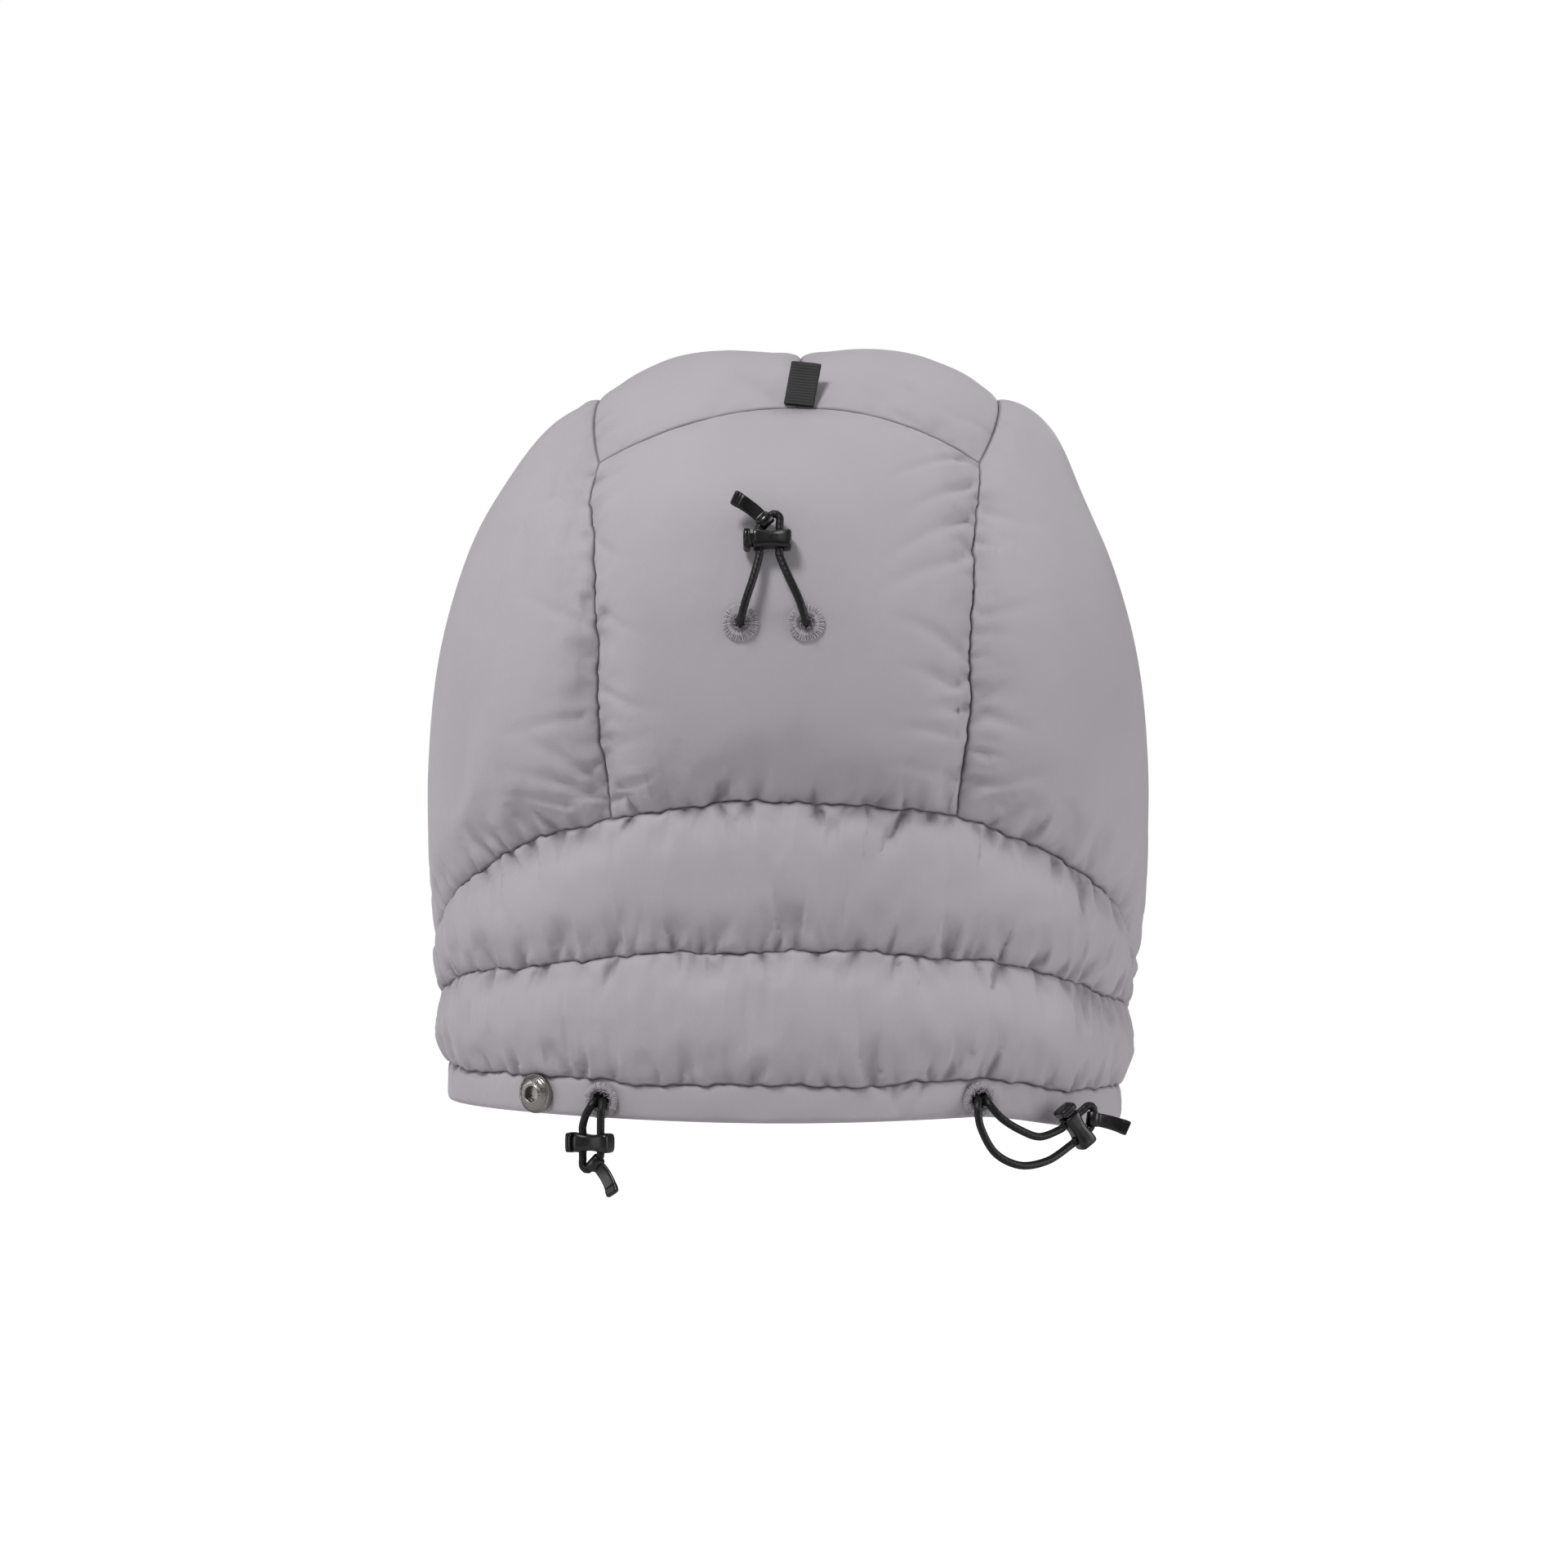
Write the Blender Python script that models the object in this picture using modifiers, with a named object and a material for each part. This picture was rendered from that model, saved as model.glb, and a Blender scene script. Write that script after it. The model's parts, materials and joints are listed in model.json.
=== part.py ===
"""Insulated quilted hood: puffed panels, hem drawcord, back adjuster, snap and hanging loop.

Metres, +Z up. The wearer faces +Y, so the back of the hood is at -Y and the wearer's right is +X.
The origin is the head seat, just under the crown lining. Heights below are measured up from the hem.
"""

import math

import bmesh
import bpy
import numpy as np
from mathutils import Matrix, Vector

# ---- Driving sizes: the seam surface, which runs through the stitching of every panel ----
HOOD_WIDTH = 0.260
HOOD_HEIGHT = 0.2915
BACK_DEPTH = 0.118
FRONT_DEPTH = 0.176
FACE_REACH = 0.090
SECTION_POWER = 2.25
CROWN_LEAN = 0.0065
LEAN_BELOW_TOP = 0.0665
RAY_CENTRE_HEIGHT = 0.150
SEAT_BELOW_TOP = 0.0055

# (share of the height, share of the half-width or depth)
WIDTH_PROFILE = [(0.0, 0.992), (0.072, 0.988), (0.155, 1.0), (0.233, 0.996), (0.322, 0.992),
                 (0.46, 0.992), (0.597, 0.962), (0.72, 0.888), (0.82, 0.792), (0.885, 0.723),
                 (0.919, 0.662), (0.945, 0.577), (0.971, 0.438), (0.988, 0.285), (1.0, 0.0)]
BACK_PROFILE = [(0.0, 0.881), (0.103, 0.898), (0.206, 0.881), (0.316, 0.873), (0.415, 0.898),
                (0.5, 0.966), (0.6, 1.0), (0.686, 0.992), (0.8, 0.907), (0.885, 0.746),
                (0.943, 0.559), (0.978, 0.364), (1.0, 0.0)]
FRONT_PROFILE = [(0.0, 1.0), (0.4, 1.0), (0.65, 1.0), (0.82, 0.85), (0.885, 0.67),
                 (0.943, 0.455), (0.978, 0.284), (1.0, 0.0)]

# ---- Seams: heights above the hem or below the top, and falls at the side of the head ----
HEM_BAND = 0.0145
HEM_RISE = 0.0045
NAPE_SEAM_HEIGHT = 0.121
NAPE_SEAM_FALL = 0.056
NAPE_SEAM_POWER = 2.2
COLLAR_SEAM_HEIGHT = 0.0645
COLLAR_SEAM_FALL = 0.019
BAFFLE_TIP_WIDTH = 0.004
CROWN_BELOW_TOP = 0.0235
CROWN_SEAM_FALL = 0.020
PANEL_HALF_AT_NAPE = 0.064
PANEL_HALF_AT_BACK = 0.069
PANEL_HALF_AT_CROWN = 0.071
PANEL_HALF_ON_TOP = 0.077
PANEL_HALF_AT_BRIM = 0.075

# ---- Layers: fabric, batt and the air that keeps neighbours apart ----
FABRIC = 0.0008
GAP = 0.0003
SEAM_FILL = 0.0008
SEAM_INSET = 0.0004
PUFF_REACH = 0.022
PUFF_INSIDE = 0.003
PUFF = {"crown": 0.005, "back": 0.007, "side": 0.010, "nape": 0.007, "collar": 0.0055}

# ---- Hem channel, binding and the elastic inside them ----
CORD = 0.0030
CORD_CLEARANCE = 0.00025
CORD_ROOM = 0.0012
CHANNEL_WALL = 0.0010
BINDING = 0.006
HEM_EYELET_HEIGHT = 0.0070
STRAND_GAP = 0.0002
STRAND_CLEAR = 0.0025

# ---- Back adjuster ----
BACK_EYELET_BELOW_TOP = 0.1045
BACK_EYELETS_X = (-0.0155, 0.0079)
ADJUSTER_HALF = 0.047
ADJUSTER_DEPTH = 0.0030
GROOVE_ROOM = 0.0016
GROOVE_DEPTH = 0.0052
HEM_EYELETS_X = (-0.0674, 0.0721)

# ---- Embroidered eyelets ----
EYELET_OUTER = 0.0128
EYELET_RAISE = 0.0013
EYELET_BARREL_WALL = 0.0007
STRAND_ROOM = 0.0010

# ---- Snap socket on the hem ----
SNAP_X = -0.0913
SNAP_HEIGHT = 0.0078
SNAP_OUTER = 0.0150
SNAP_TALL = 0.0040
SNAP_HOLE = 0.0060
SNAP_POST = 0.0044
SNAP_CAP = 0.0120
SNAP_FLOOR = 0.0008
SNAP_WELL = 0.0011
SNAP_LIP = 0.0007
SNAP_FACE = 0.0022
SNAP_EDGE = 0.0006
SNAP_DOME = 0.0009
SNAP_SKIRT = 0.0012
SNAP_FOOT = 0.0004
SNAP_WIRE = 0.00045
SNAP_WIRE_IN = 0.0005
RIVET_CLENCH = 0.0007
RIVET_HEAD = 0.0005
RIVET_CAP = (0.0002, 0.0006, 0.0016, 0.0014, 0.0018)
ELASTIC_DIP = 0.0041

# ---- Hanging loop of flat webbing ----
LOOP_X = 0.0007
LOOP_WIDTH = 0.0115
LOOP_LENGTH = 0.0185
LOOP_TAPE = 0.0005
LOOP_TURN = math.radians(-11)
LOOP_STAND = math.radians(30)

# ---- Cord locks ----
LOCK_LENGTH = 0.0142
LOCK_WALL = 0.0008
LOCK_PLAY = 0.00035
LOCK_CORD_WALL = 0.0015
LOCK_ROUNDING = 0.0015
LOCK_FIRST_CORD = 0.0022
STRAND_SPACING = 0.0076
BUTTON_TRAVEL = 0.0011
BUTTON_HEAD = 0.0024
BUTTON_GAP = 0.0012
BUTTON_RAIL = 0.00075
CROSSBAR = 0.00075
CROSSBAR_GAP = 0.00015
LOCK_POST = 0.0009
SPRING_WIRE = 0.00035
SPRING_RADIUS = 0.0012
SPRING_TURNS = 2.25

# ---- Pull tabs ----
TAB_WIDTH = 0.0054
TAB_LENGTH = 0.0140
TAB_THICK = 0.0015
TAB_EYE = 0.0050
TAB_EYE_CLEARANCE = 0.0004
TAB_CURL = 0.0030
TAB_EYE_CENTRE = Vector((-0.0009, 0, 0.0075))
TAB_ARM_WAY = Vector((-1, 0, 1)).normalized()
STRANDS_MIDDLE = 0.0007

SEAT_HEIGHT = HOOD_HEIGHT - SEAT_BELOW_TOP
SEAM_OUT = SEAM_FILL + GAP + FABRIC
CHANNEL_CAVITY = CORD + CORD_ROOM
CHANNEL_HALF = CHANNEL_CAVITY / 2 + CHANNEL_WALL
LEAN_START = HOOD_HEIGHT - LEAN_BELOW_TOP
CROWN_SEAM_HEIGHT = HOOD_HEIGHT - CROWN_BELOW_TOP
BACK_EYELET_HEIGHT = HOOD_HEIGHT - BACK_EYELET_BELOW_TOP
BACK_EYELET_HOLE = CORD + CORD_ROOM
HEM_EYELET_HOLE = 2 * CORD + STRAND_GAP + STRAND_ROOM
GROOVE_WIDTH = CORD + GROOVE_ROOM
LOCK_SIDE = CORD + 2 * (LOCK_WALL + GAP + BUTTON_RAIL + LOCK_PLAY)

# Each lock: its centre beside the seam surface (x, height) and how far off it, how far below that
# height it hangs, its turn about Z, tilt back and roll, whether its loop hangs down, and whether
# its pull tab is on the strand beside the button (1) or on the other one (-1).
LOCKS = {
    "back": (-0.0058, HOOD_HEIGHT - 0.0772, 0.0137, 0.0, 0.0, math.radians(16), 0.0, False, 1),
    "hem_left": (-0.0694, 0.0040, 0.0086, 0.0109, math.radians(-26), 0.0, 0.0, True, -1),
    "hem_right": (0.1020, 0.0060, 0.0120, 0.0082, math.radians(26), 0.0, math.radians(-54),
                  False, -1),
}

# The run of every drawn-out cord loop through its lock, round the tab's eye and back, in
# millimetres in the lock's own frame.
LOOP_TOP = [(-3.1, 0, -6.2), (-3.1, 0, -3.7), (-3.1, 0, 0), (-3.1, 0, 3.9), (-2.8, 0, 5.2),
            (-1.9, 0, 6.5), (-0.9, 0, 7.5), (0.1, 0, 8.5), (1.2, 0, 9.6), (2.2, 0, 10.15), (3.3, 0, 10.05),
            (4.2, 0, 9.3), (4.6, 0, 8.1), (4.5, 0, 6.4), (4.5, 0, 3.9), (4.5, 0, 0), (4.5, 0, -3.7),
            (4.5, 0, -6.2)]
# The strands between each lock and its eyelets, in millimetres from the head seat: from the first
# eyelet up to the lock, and from the lock back down to the second.
STRANDS = {
    "back": ([(-15.7, -131.8, -96.6), (-14.1, -132.4, -90.5), (-11.3, -131.1, -82.0)],
             [(1.5, -131.1, -81.5), (5.5, -132.7, -90.2), (7.5, -132.1, -96.2)]),
    "hem_left": ([(-72.3, -99.8, -279.4), (-74.4, -99.6, -283.0)],
                 [(-68.7, -102.2, -283.0), (-68.3, -101.2, -279.4)]),
    "hem_right": ([(77.5, -98.2, -279.5), (82.0, -98.2, -284.5), (89.0, -94.8, -289.0),
                   (96.5, -89.0, -291.8)],
                  [(99.5, -87.0, -301.0), (89.0, -94.2, -302.3), (79.5, -98.8, -297.5),
                   (74.0, -100.6, -288.0), (72.8, -100.0, -280.5)]),
}


# ---------------------------------------------------------------- seam surface


def smooth_profile(stations, height, size, steps=10):
    """Heights and values of a Catmull-Rom curve through the stations, as two arrays."""
    points = [Vector((h * height, v * size)) for h, v in stations]
    points = [points[0]] + points + [points[-1]]
    found = []
    for a, b, c, d in zip(points, points[1:], points[2:], points[3:]):
        for step in range(steps):
            t = step / steps
            bend = (2 * a - 5 * b + 4 * c - d) * t * t + (3 * b - a - 3 * c + d) * t ** 3
            found.append(b + ((c - a) * t + bend) / 2)
    found.append(points[-1])
    return np.array(found).T


WIDTHS = smooth_profile(WIDTH_PROFILE, HOOD_HEIGHT, HOOD_WIDTH / 2)
BACKS = smooth_profile(BACK_PROFILE, HOOD_HEIGHT, BACK_DEPTH)
FRONTS = smooth_profile(FRONT_PROFILE, HOOD_HEIGHT, FRONT_DEPTH)
SMALLEST = 1e-5


def half_width(height):
    return np.maximum(np.interp(height, *WIDTHS), SMALLEST)


def half_depth(height, at_back):
    deep = np.where(at_back, np.interp(height, *BACKS), np.interp(height, *FRONTS))
    return np.maximum(deep, SMALLEST)


def is_outside(points):
    x, y, height = np.moveaxis(points, -1, 0)
    across = (np.abs(x) / half_width(height)) ** SECTION_POWER
    along = (np.abs(y) / half_depth(height, y < 0)) ** SECTION_POWER
    return (across + along > 1) | (height > HOOD_HEIGHT)


def project(points):
    """The points moved onto the seam surface, along rays from the middle of the head."""
    points = np.asarray(points, float)
    centre = np.zeros_like(points)
    centre[..., 2] = np.minimum(points[..., 2], RAY_CENTRE_HEIGHT)
    ray = points - centre
    near = np.zeros(points.shape[:-1] + (1,))
    far = np.full_like(near, 6.0)
    for _ in range(40):
        middle = (near + far) / 2
        outside = is_outside(centre + ray * middle)[..., None]
        near = np.where(outside, near, middle)
        far = np.where(outside, middle, far)
    return centre + ray * near


def normals(points, step=0.004):
    """Outward normals of the seam surface, averaged over a small step each way."""
    points = np.asarray(points, float)
    centre = np.zeros_like(points)
    centre[..., 2] = np.minimum(points[..., 2], RAY_CENTRE_HEIGHT)
    ray = points - centre
    ray /= np.linalg.norm(ray, axis=-1, keepdims=True)
    helper = np.where(np.abs(ray[..., 2:]) > 0.9, [1.0, 0, 0], [0, 0, 1.0])
    side = np.cross(ray, helper)
    side *= step / np.linalg.norm(side, axis=-1, keepdims=True)
    up = np.cross(side, ray)
    across = project(points + side) - project(points - side)
    along = project(points + up) - project(points - up)
    found = np.cross(across, along)
    found *= np.sign(np.sum(found * ray, -1, keepdims=True))
    return found / np.linalg.norm(found, axis=-1, keepdims=True)


def placed(points):
    """Points of the upright surface with the crown's lean, measured from the head seat."""
    points = np.array(points, float)
    t = np.clip((points[..., 2] - LEAN_START) / (HOOD_HEIGHT - LEAN_START), 0, 1)
    points[..., 0] += CROWN_LEAN * t * t * (3 - 2 * t)
    points[..., 2] -= SEAT_HEIGHT
    return points


def back_point(x, height):
    """The point of the back's seam surface at a distance from the middle and a height."""
    share = 1 - (abs(x) / half_width(height)) ** SECTION_POWER
    return np.array([x, -half_depth(height, True) * share ** (1 / SECTION_POWER), height])


def ring_points(angles, heights):
    """Points of the seam surface at angles from the middle of the back, at heights."""
    sine, cosine = np.sin(angles), np.cos(angles)
    across = (np.abs(sine) / half_width(heights)) ** SECTION_POWER
    along = (np.abs(cosine) / half_depth(heights, cosine > 0)) ** SECTION_POWER
    radius = (across + along) ** (-1 / SECTION_POWER)
    return np.stack([radius * sine, -radius * cosine, heights], -1)


def surface_frame(x, height, off=0.0):
    """A place on the back: +X to the wearer's right, +Y up the cloth, +Z away from it."""
    point = back_point(x, height)
    normal = normals(point)
    out = Vector(normal)
    across = Vector((0, 0, 1)).cross(out).normalized()
    frame = Matrix((across, out.cross(across), out)).transposed().to_4x4()
    frame.translation = Vector(placed(point + normal * off))
    return frame


# ---------------------------------------------------------------- seams


def eased(count):
    """Places from 0 to 1 that lie closer together at both ends, where the cloth bends most."""
    even = np.linspace(0, 1, count + 1)
    return 0.35 * even + 0.65 * (1 - np.cos(np.pi * even)) / 2


def between(points, places):
    """The curve through the points, read at shares of its length."""
    steps = np.linalg.norm(np.diff(points, axis=0), axis=1)
    way = np.concatenate([[0], np.cumsum(steps)])
    return np.stack([np.interp(places * way[-1], way, points[:, k]) for k in range(3)], -1)


def smooth_seam(stations, steps=16):
    """A smooth curve through a few stations, on the seam surface."""
    points = [Vector(s) for s in stations]
    points = [2 * points[0] - points[1]] + points + [2 * points[-1] - points[-2]]
    found = []
    for a, b, c, d in zip(points, points[1:], points[2:], points[3:]):
        for step in range(steps):
            t = step / steps
            bend = (2 * a - 5 * b + 4 * c - d) * t * t + (3 * b - a - 3 * c + d) * t ** 3
            found.append(b + ((c - a) * t + bend) / 2)
    found.append(points[-2])
    return project(np.array(found))


def hem_lift(angles):
    return HEM_RISE * np.sin(np.minimum(np.abs(angles), math.pi / 2)) ** 2


def nape_height(angles):
    side = np.abs(angles) / (math.pi / 2)
    return NAPE_SEAM_HEIGHT - NAPE_SEAM_FALL * side ** NAPE_SEAM_POWER


def collar_height(angles):
    side = np.abs(angles) / (math.pi / 2)
    return COLLAR_SEAM_HEIGHT - COLLAR_SEAM_FALL * side ** 2


def band_height(angles):
    return HEM_BAND + hem_lift(angles)


def angle_where(height_of, test):
    """The first angle from the middle of the back at which the test of that seam's point holds."""
    angles = np.linspace(0.05, 2.8, 2751)
    points = ring_points(angles, height_of(angles))
    return angles[np.argmax(test(points, angles))]


def reaches_face(points, angles):
    return points[:, 1] > FACE_REACH


COLLAR_END = angle_where(collar_height, reaches_face)
BAND_END = angle_where(band_height, reaches_face)
HEM_END = angle_where(hem_lift, reaches_face)
PANEL_ANGLE = angle_where(nape_height, lambda points, angles: points[:, 0] > PANEL_HALF_AT_NAPE)
TIP_ANGLE = angle_where(nape_height, lambda points, angles:
                        nape_height(angles) - collar_height(angles) < BAFFLE_TIP_WIDTH)


def ring_seam(height_of, start, end, count=80):
    angles = np.linspace(start, end, count + 1)
    return ring_points(angles, height_of(angles))


def face_edge():
    """The edge of the face opening at the wearer's right, from the hem to the middle of the brim."""
    heights = np.linspace(float(hem_lift(HEM_END)), HOOD_HEIGHT, 3001)
    share = 1 - (FACE_REACH / half_depth(heights, False)) ** SECTION_POWER
    keep = share > 0
    x = half_width(heights[keep]) * share[keep] ** (1 / SECTION_POWER)
    edge = np.stack([x, np.full_like(x, FACE_REACH), heights[keep]], -1)
    return np.vstack([edge, [0, FACE_REACH, edge[-1, 2]]])


FACE_EDGE = face_edge()


def face_part(start, end):
    """The face edge from one of its points to another, each given by a test of x or height."""
    return FACE_EDGE[np.argmax(start(FACE_EDGE)):np.argmax(end(FACE_EDGE)) + 1]


def flipped(points):
    return points[::-1]


def mirrored(points):
    return points * [-1, 1, 1]


ON_THE_BRIM = (FACE_EDGE[:, 0] < PANEL_HALF_AT_BRIM) & (FACE_EDGE[:, 2] > HOOD_HEIGHT / 2)
BRIM_CORNER = FACE_EDGE[np.argmax(ON_THE_BRIM)]
NAPE_CORNER = ring_points(PANEL_ANGLE, nape_height(PANEL_ANGLE))
CROWN_CORNER = back_point(PANEL_HALF_AT_CROWN, CROWN_SEAM_HEIGHT - CROWN_SEAM_FALL)


def side_seam():
    """The wearer's right side seam of the back panel, from the nape up to the crown seam."""
    middle = (NAPE_SEAM_HEIGHT + CROWN_SEAM_HEIGHT) / 2
    return smooth_seam([NAPE_CORNER, back_point(PANEL_HALF_AT_BACK, middle), CROWN_CORNER])


def top_seam():
    """The seam between the crown and the side at the wearer's right, from the back to the brim."""
    over = [PANEL_HALF_ON_TOP, 0, HOOD_HEIGHT * 0.95]
    return smooth_seam([CROWN_CORNER, over, BRIM_CORNER])


def crown_seam():
    """The right half of the seam across the back of the crown, from the middle outwards."""
    x = np.linspace(0, PANEL_HALF_AT_CROWN, 41)
    heights = CROWN_SEAM_HEIGHT - CROWN_SEAM_FALL * (x / PANEL_HALF_AT_CROWN) ** 2
    return np.array([back_point(*place) for place in zip(x, heights)])


def middle_seam():
    """The seam over the top of the crown, from its back seam to the brim."""
    start = back_point(0, CROWN_SEAM_HEIGHT)
    y = np.linspace(start[1], FACE_REACH, 61)
    guess = np.stack([0 * y, y, np.full_like(y, HOOD_HEIGHT)], -1)
    guess[:, 2] = np.maximum(HOOD_HEIGHT * (1 - 0.2 * (y / FACE_REACH) ** 2), CROWN_SEAM_HEIGHT)
    points = project(guess)
    points[0] = start
    points[-1] = FACE_EDGE[-1]
    return points


# ---------------------------------------------------------------- panels


def patch(bottom, top, left, right, columns, rows):
    """A grid of points on the seam surface that fills the space between four seams."""
    u, v = eased(columns), eased(rows)
    low, high = between(bottom, u), between(top, u)
    start, end = between(left, v), between(right, v)
    s, t = u[None, :, None], v[:, None, None]
    grid = (1 - t) * low[None] + t * high[None] + (1 - s) * start[:, None] + s * end[:, None]
    grid -= (1 - s) * (1 - t) * low[0] + s * (1 - t) * low[-1]
    grid -= (1 - s) * t * high[0] + s * t * high[-1]
    inner = project(grid[1:-1, 1:-1])
    grid[0], grid[-1], grid[:, 0], grid[:, -1] = low, high, start, end
    grid[1:-1, 1:-1] = inner
    return grid


def rim(grid):
    return np.concatenate([grid[0], grid[1:, -1], grid[-1, -2::-1], grid[-2:0:-1, 0]])


def edge_distance(grid):
    """How far each point of the grid is from the nearest seam of its panel."""
    starts = rim(grid)
    ends = np.roll(starts, -1, axis=0)
    along = ends - starts
    offset = grid[..., None, :] - starts
    length = np.maximum(np.sum(along ** 2, -1), 1e-12)
    share = np.clip(np.sum(offset * along, -1) / length, 0, 1)
    return np.linalg.norm(offset - share[..., None] * along, axis=-1).min(-1)


def inset(grid):
    """The grid with its edges drawn in from the stitching."""
    moved = grid.copy()
    for edge, inner in ((0, 1), (-1, -2)):
        for axis in (0, 1):
            here, there = [slice(None)] * 2, [slice(None)] * 2
            here[axis], there[axis] = edge, inner
            way = grid[tuple(there)] - grid[tuple(here)]
            moved[tuple(here)] += way * SEAM_INSET / np.linalg.norm(way, axis=-1, keepdims=True)
    return moved


def puffed(distance, height):
    """How far a filled panel stands off its seam level, rising steeply at the stitching."""
    share = np.clip(distance / PUFF_REACH, 0, 1)
    return height * np.sqrt(1 - (1 - share) ** 2)


def layer(name, inner, outer, material):
    """A closed sheet between two grids of points."""
    rows, columns = inner.shape[0] - 1, inner.shape[1] - 1
    sheet = bmesh.new()
    bmesh.ops.create_grid(sheet, x_segments=columns, y_segments=rows, size=1)
    raised = bmesh.ops.extrude_face_region(sheet, geom=sheet.faces[:])["geom"]
    raised = {part for part in raised if isinstance(part, bmesh.types.BMVert)}
    for vertex in sheet.verts:
        row = round((vertex.co.y + 1) / 2 * rows)
        column = round((vertex.co.x + 1) / 2 * columns)
        vertex.co = (outer if vertex in raised else inner)[row, column]
    bmesh.ops.recalc_face_normals(sheet, faces=sheet.faces[:])
    return made(name, sheet, material)


def panel(name, grid, puff, shell, fill, lining):
    """One quilted panel: its outer fabric, its batt and its lining."""
    distance = edge_distance(grid)
    grid = inset(grid)
    out = normals(grid)
    outer = (SEAM_FILL + puffed(distance, puff))[..., None]
    inner = (SEAM_FILL + puffed(distance, PUFF_INSIDE))[..., None]

    def at(offset):
        return placed(grid + out * offset)

    cloth = layer(f"shell_{name}", at(outer + GAP), at(outer + GAP + FABRIC), shell)
    batt = layer(f"fill_{name}", at(-inner), at(outer), fill)
    layer(f"lining_{name}", at(-inner - GAP - FABRIC), at(-inner - GAP), lining)
    return cloth, batt


# ---------------------------------------------------------------- Blender helpers


def clear_scene():
    for obj in list(bpy.data.objects):
        bpy.data.objects.remove(obj, do_unlink=True)


def collection(name, hidden=False):
    found = bpy.data.collections.new(name)
    bpy.context.scene.collection.children.link(found)
    found.hide_render = hidden
    return found


def finish_of(name, colour, roughness, metallic=0.0):
    material = bpy.data.materials.new(name)
    material.use_nodes = True
    shader = material.node_tree.nodes["Principled BSDF"]
    shader.inputs["Base Color"].default_value = (*colour, 1)
    shader.inputs["Roughness"].default_value = roughness
    shader.inputs["Metallic"].default_value = metallic
    return material


def made(name, mesh, material=None, into=None):
    """An object of a bmesh. Without a material it is a cutter."""
    data = bpy.data.meshes.new(name)
    mesh.to_mesh(data)
    mesh.free()
    obj = bpy.data.objects.new(name, data)
    if material is None:
        obj.hide_render = True
        obj.display_type = "WIRE"
        CUTTERS.objects.link(obj)
    else:
        data.materials.append(material)
        (into or PARTS).objects.link(obj)
    return obj


def box(name, low, high, material=None, frame=None):
    mesh = bmesh.new()
    bmesh.ops.create_cube(mesh, size=1)
    low, high = Vector(low), Vector(high)
    for vertex in mesh.verts:
        share = vertex.co + Vector((0.5, 0.5, 0.5))
        vertex.co = [a + (b - a) * s for a, b, s in zip(low, high, share)]
    obj = made(name, mesh, material)
    obj.matrix_world = frame or Matrix()
    return obj


def pin(name, radius, start, end, material=None, frame=None, sides=20):
    """A cylinder between two points of a frame."""
    start, end = Vector(start), Vector(end)
    way = end - start
    mesh = bmesh.new()
    bmesh.ops.create_cone(mesh, cap_ends=True, segments=sides, radius1=radius, radius2=radius,
                          depth=way.length)
    turn = way.to_track_quat("Z", "Y").to_matrix().to_4x4()
    turn.translation = (start + end) / 2
    bmesh.ops.transform(mesh, matrix=turn, verts=mesh.verts)
    obj = made(name, mesh, material)
    obj.matrix_world = frame or Matrix()
    return obj


def combine(obj, other, operation):
    modifier = obj.modifiers.new(operation.title() + "_" + other.name, "BOOLEAN")
    modifier.operation = operation
    modifier.object = other


def cut(obj, *cutters):
    for cutter in cutters:
        combine(obj, cutter, "DIFFERENCE")


def rounded(obj, width, segments=2):
    modifier = obj.modifiers.new("Rounding", "BEVEL")
    modifier.width = width
    modifier.segments = segments
    modifier.limit_method = "ANGLE"


def turned(name, profile, material, frame, steps=24):
    """A closed outline (radius, height) turned about the frame's Z axis."""
    data = bpy.data.meshes.new(name)
    points = [(r, 0, h) for r, h in profile]
    count = len(points)
    on_axis = points[0][0] < SMALLEST and points[-1][0] < SMALLEST
    edges = [(k, (k + 1) % count) for k in range(count - on_axis)]
    data.from_pydata(points, edges, [])
    data.materials.append(material)
    obj = bpy.data.objects.new(name, data)
    PARTS.objects.link(obj)
    obj.matrix_world = frame
    screw = obj.modifiers.new("Turn", "SCREW")
    screw.steps = steps
    screw.render_steps = steps
    screw.use_merge_vertices = True
    screw.merge_threshold = 0.00001
    return obj


def tube(name, points, diameter, material):
    """A cord of closely spaced points, with flat ends."""
    data = bpy.data.curves.new(name, "CURVE")
    data.dimensions = "3D"
    data.bevel_depth = diameter / 2
    data.bevel_resolution = 2
    data.use_fill_caps = True
    spline = data.splines.new("POLY")
    spline.points.add(len(points) - 1)
    for place, point in zip(spline.points, points):
        place.co = (*point, 1)
    data.materials.append(material)
    obj = bpy.data.objects.new(name, data)
    PARTS.objects.link(obj)
    return obj


def smooth_route(points, spacing):
    """Closely spaced points of a smooth curve through a route."""
    ends = [2 * points[0] - points[1]] + points + [2 * points[-1] - points[-2]]
    found = []
    for a, b, c, d in zip(ends, ends[1:], ends[2:], ends[3:]):
        steps = max(1, round((c - b).length / spacing))
        for step in range(steps):
            t = step / steps
            bend = (2 * a - 5 * b + 4 * c - d) * t * t + (3 * b - a - 3 * c + d) * t ** 3
            found.append(b + ((c - a) * t + bend) / 2)
    return found + [points[-1]]


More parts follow.
